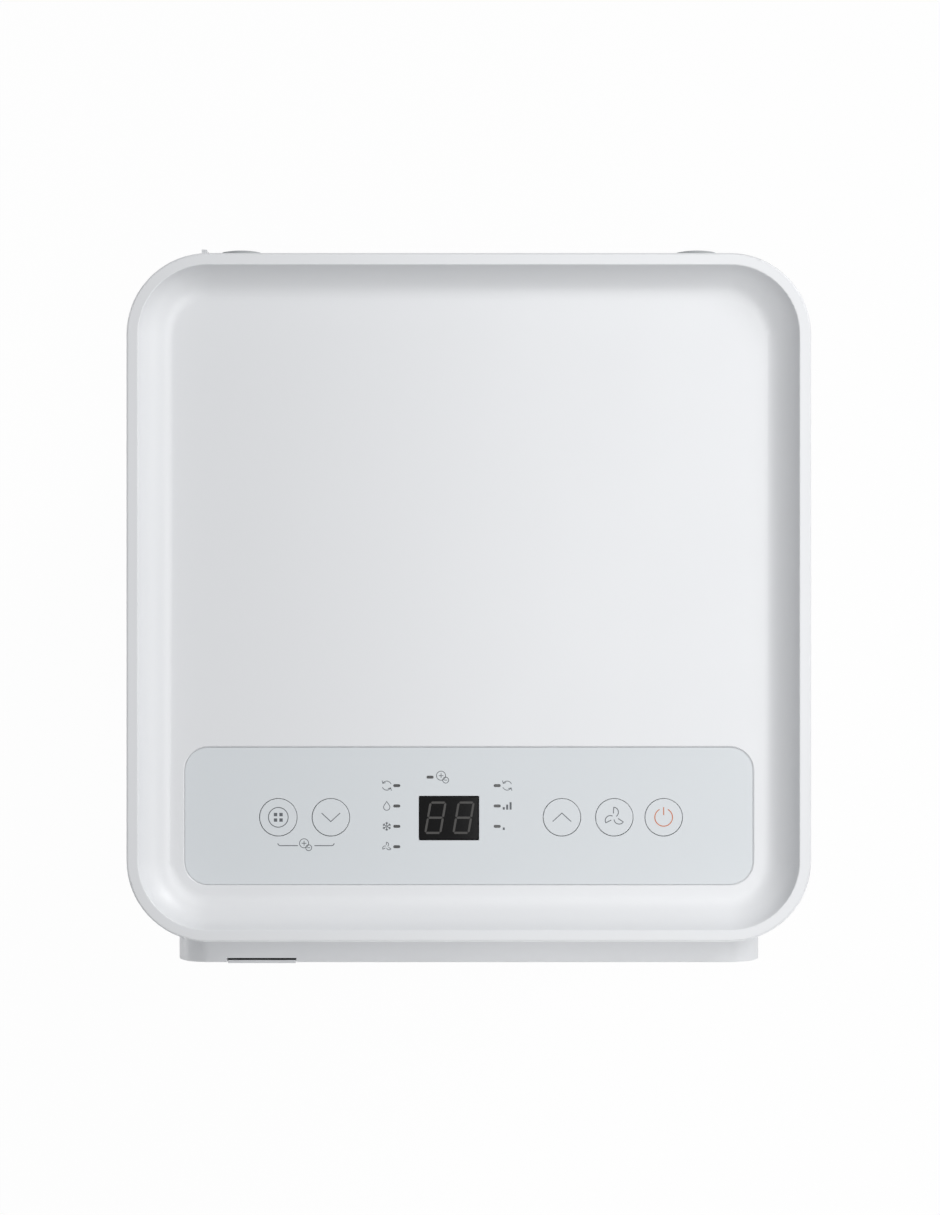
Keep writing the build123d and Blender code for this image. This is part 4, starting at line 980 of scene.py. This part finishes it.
class CLIMATE_OT_rear_vents(bpy.types.Operator):
    """Build the intake grilles and filters, and dress the hose collar and rear fittings"""
    bl_idname = "climate.rear_vents"
    bl_label = "Rear vents"

    def execute(self, context):
        sizes = settings().finish
        for level in ("upper", "lower"):
            self.grille(f"{level}_intake_grille", sizes)
            self.filter(f"{level}_filter", sizes)
            dress(f"{level}_drain_plug", edge=sizes.plug_edge)
        for node in ("hose_collar", "cord_gland", "wall_bumpers"):
            dress(node, edge=sizes.edge)
        return {"FINISHED"}

    def grille(self, node, sizes):
        """Leaning slats and upright ribs in a frame, set back a little from its outer face."""
        size, inner = self.spans(node, sizes)
        place = (size.y - sizes.slat_depth) / 2 - sizes.set_back
        rib_pitch = (size.x - sizes.border) / (sizes.ribs + 1)
        slats = sizes.slat_height, sizes.slat_pitch, int(inner.z / sizes.slat_pitch), place
        ribs = sizes.rib, rib_pitch, sizes.ribs, place
        self.barred(node, sizes, sizes.slat_depth, slats, ribs, -sizes.slat_lean, sizes.fine_edge)

    def filter(self, node, sizes):
        """A frame with a net of crossing nylon threads."""
        inner = self.spans(node, sizes)[1]
        thread, pitch = sizes.thread, sizes.net_pitch
        level = thread, pitch, int(inner.z / pitch), 0.0
        upright = thread, pitch, int(inner.x / pitch), thread / 2
        self.barred(node, sizes, thread, level, upright)

    def spans(self, node, sizes):
        """The outside of a frame and the opening inside its border."""
        low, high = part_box(node)
        return high - low, high - low - Vector((2, 0, 2)) * sizes.border

    def barred(self, node, sizes, depth, level, upright, lean=0.0, edge=None):
        """A frame with two rows of bars, each given as thickness, pitch, count and place in depth."""
        size, inner = self.spans(node, sizes)
        (slat, rise, slats, slat_place), (rib, step, ribs, rib_place) = level, upright
        grown(
            node,
            barred_frame,
            [centre_of(node)],
            edge,
            Outside=tuple(size),
            Opening=(inner.x, size.y * 2, inner.z),
            Level_bar=(size.x - sizes.border, depth, slat),
            Level_first=(0.0, slat_place, -(slats - 1) / 2 * rise),
            Level_step=(0.0, 0.0, rise),
            Level_count=slats,
            Level_lean=(lean, 0.0, 0.0),
            Upright_bar=(rib, depth, size.z - sizes.border),
            Upright_first=(-(ribs - 1) / 2 * step, rib_place, 0.0),
            Upright_step=(step, 0.0, 0.0),
            Upright_count=ribs,
            Upright_lean=(0.0, 0.0, 0.0),
        )


class CLIMATE_OT_screws(bpy.types.Operator):
    """Build the screws of the rear wall"""
    bl_idname = "climate.screws"
    bl_label = "Screws"

    def execute(self, context):
        sizes = settings().finish
        low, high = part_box("cabinet_screws")
        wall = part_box("wall_bumpers")[0].y
        head = high.y - wall
        shank = wall - low.y
        recess = 2 * sizes.recess_depth
        grown(
            "cabinet_screws",
            pan_head_screw,
            [(place.x, wall, place.z) for place in loose_middles("cabinet_screws")],
            sizes.fine_edge,
            Head_radius=sizes.screw_head / 2,
            Top_radius=sizes.screw_head / 2 * sizes.head_taper,
            Head_height=head,
            Recess=(sizes.recess, sizes.recess_width, recess),
            Cross_recess=(sizes.recess_width, sizes.recess, recess),
            Recess_place=(0.0, 0.0, head),
            Shank_radius=sizes.screw_shank / 2,
            Shank_length=shank,
            Shank_place=(0.0, 0.0, -shank / 2),
        )
        return {"FINISHED"}


class CLIMATE_OT_casters(bpy.types.Operator):
    """Dress the caster forks with their axles, and the wheels"""
    bl_idname = "climate.casters"
    bl_label = "Casters"

    def execute(self, context):
        for corner in CORNERS:
            dress(f"caster_fork_{corner}", edge=settings().finish.edge)
            dress(f"caster_wheel_{corner}")
        return {"FINISHED"}


class CLIMATE_OT_inner_machine(bpy.types.Operator):
    """Give the machine inside its finishes"""
    bl_idname = "climate.inner_machine"
    bl_label = "Inner machine"

    def execute(self, context):
        paint(*sorted(set(frame["nodes"]) - dressed))
        return {"FINISHED"}


class CLIMATE_OT_stage(bpy.types.Operator):
    """Set the floor, the light and the camera"""
    bl_idname = "climate.stage"
    bl_label = "Stage"

    def execute(self, context):
        scene = context.scene
        scene.view_settings.view_transform = "Standard"
        self.floor()
        self.world(scene)
        sizes = settings().stage
        for name, light in LIGHTS.items():
            self.area(f"{name}_light", *light, getattr(sizes, name))
        self.camera(scene, sizes)
        return {"FINISHED"}

    def floor(self):
        """A white floor that the camera sees as white, with a faint shadow."""
        far = FLOOR_REACH
        corners = [(-far, -far, 0), (far, -far, 0), (far, far, 0), (-far, far, 0)]
        mesh = mesh_from("floor", corners, [(0, 1, 2, 3)])
        floor = linked("floor", mesh)
        material = bpy.data.materials.new("studio_floor")
        tree = emptied_tree(material)
        matt = add_node(tree, "ShaderNodeBsdfDiffuse", {"Color": settings().colours.floor})
        glow = add_node(tree, "ShaderNodeEmission", {"Color": (1, 1, 1, 1), "Strength": 1.0})
        share = add_node(
            tree, "ShaderNodeMath", {0: direct_rays(tree), 1: FLOOR_GLOW}, operation="MULTIPLY"
        )
        mix = add_node(
            tree, "ShaderNodeMixShader", {0: share.outputs[0], 1: matt.outputs[0], 2: glow.outputs[0]}
        )
        add_node(tree, "ShaderNodeOutputMaterial", {"Surface": mix.outputs[0]})
        mesh.materials.append(material)

    def world(self, scene):
        """Even light all round, white where the camera sees it."""
        world = bpy.data.worlds.new("studio")
        tree = emptied_tree(world)
        colour, strength = settings().colours.fill, settings().stage.fill
        even = add_node(tree, "ShaderNodeBackground", {"Color": colour, "Strength": strength})
        white = add_node(tree, "ShaderNodeBackground", {"Color": (1, 1, 1, 1), "Strength": 1.0})
        mix = add_node(
            tree, "ShaderNodeMixShader", {0: direct_rays(tree), 1: even.outputs[0], 2: white.outputs[0]}
        )
        add_node(tree, "ShaderNodeOutputWorld", {"Surface": mix.outputs[0]})
        scene.world = world

    def area(self, name, place, target, size, power):
        """One soft oblong light that faces a point."""
        lamp = bpy.data.lights.new(name, "AREA")
        lamp.shape = "RECTANGLE"
        lamp.size, lamp.size_y = size
        lamp.energy = power
        light = linked(name, lamp)
        light.location = place
        light.rotation_euler = (Vector(target) - Vector(place)).to_track_quat("-Z", "Y").to_euler()
        light.visible_camera = False

    def camera(self, scene, sizes):
        """A camera straight above the top cover, with the photograph's up along +Y."""
        low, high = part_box("top_cover")
        data = bpy.data.cameras.new("camera")
        data.lens = sizes.lens
        data.sensor_width = SENSOR_WIDTH
        camera = linked("camera", data)
        camera.location = (sizes.shift_x, (low.y + high.y) / 2 + sizes.shift_y, high.z + sizes.height)
        scene.camera = camera


def direct_rays(tree):
    """1 for rays from the camera, mirrors and glass, 0 for the light that falls on things."""
    path = add_node(tree, "ShaderNodeLightPath").outputs
    seen = path["Is Camera Ray"]
    for ray in ("Is Glossy Ray", "Is Transmission Ray"):
        seen = add_node(tree, "ShaderNodeMath", {0: seen, 1: path[ray]}, operation="MAXIMUM").outputs[0]
    return seen


OPERATORS = (
    CLIMATE_OT_top_cover,
    CLIMATE_OT_control_panel,
    CLIMATE_OT_buttons,
    CLIMATE_OT_display,
    CLIMATE_OT_cabinet,
    CLIMATE_OT_front_panel,
    CLIMATE_OT_air_outlet,
    CLIMATE_OT_rear_vents,
    CLIMATE_OT_screws,
    CLIMATE_OT_casters,
    CLIMATE_OT_inner_machine,
    CLIMATE_OT_stage,
)


class TowerSettings(bpy.types.PropertyGroup):
    """All settings of the tower's looks"""
    colours: PointerProperty(type=TowerColours, name="Colours", description="Colours of the finishes")
    print: PointerProperty(type=PrintSizes, name="Print", description="Sizes of the printed marks")
    finish: PointerProperty(type=FinishSizes, name="Finish", description="Small sizes of the pieces")
    stage: PointerProperty(type=StageSizes, name="Stage", description="Camera, floor and light")


class CLIMATE_PT_tower(bpy.types.Panel):
    """Buttons for each step of the tower's looks"""
    bl_label = "Climate tower"
    bl_idname = "CLIMATE_PT_tower"
    bl_space_type = "VIEW_3D"
    bl_region_type = "UI"
    bl_category = "Climate tower"

    def draw(self, context):
        for operator in OPERATORS:
            self.layout.operator(operator.bl_idname)


GROUPS = (TowerColours, PrintSizes, FinishSizes, StageSizes, TowerSettings)
CLASSES = GROUPS + OPERATORS + (CLIMATE_PT_tower,)


def register():
    """Register every class and hang the settings on the scene."""
    for item in CLASSES:
        bpy.utils.register_class(item)
    bpy.types.Scene.climate_tower = PointerProperty(type=TowerSettings)


def unregister():
    """Undo register."""
    del bpy.types.Scene.climate_tower
    for item in reversed(CLASSES):
        bpy.utils.unregister_class(item)


def main():
    """Build the looks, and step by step."""
    register()
    for operator in OPERATORS:
        getattr(bpy.ops.climate, operator.bl_idname.split(".")[1])()


if __name__ == "__main__":
    main()
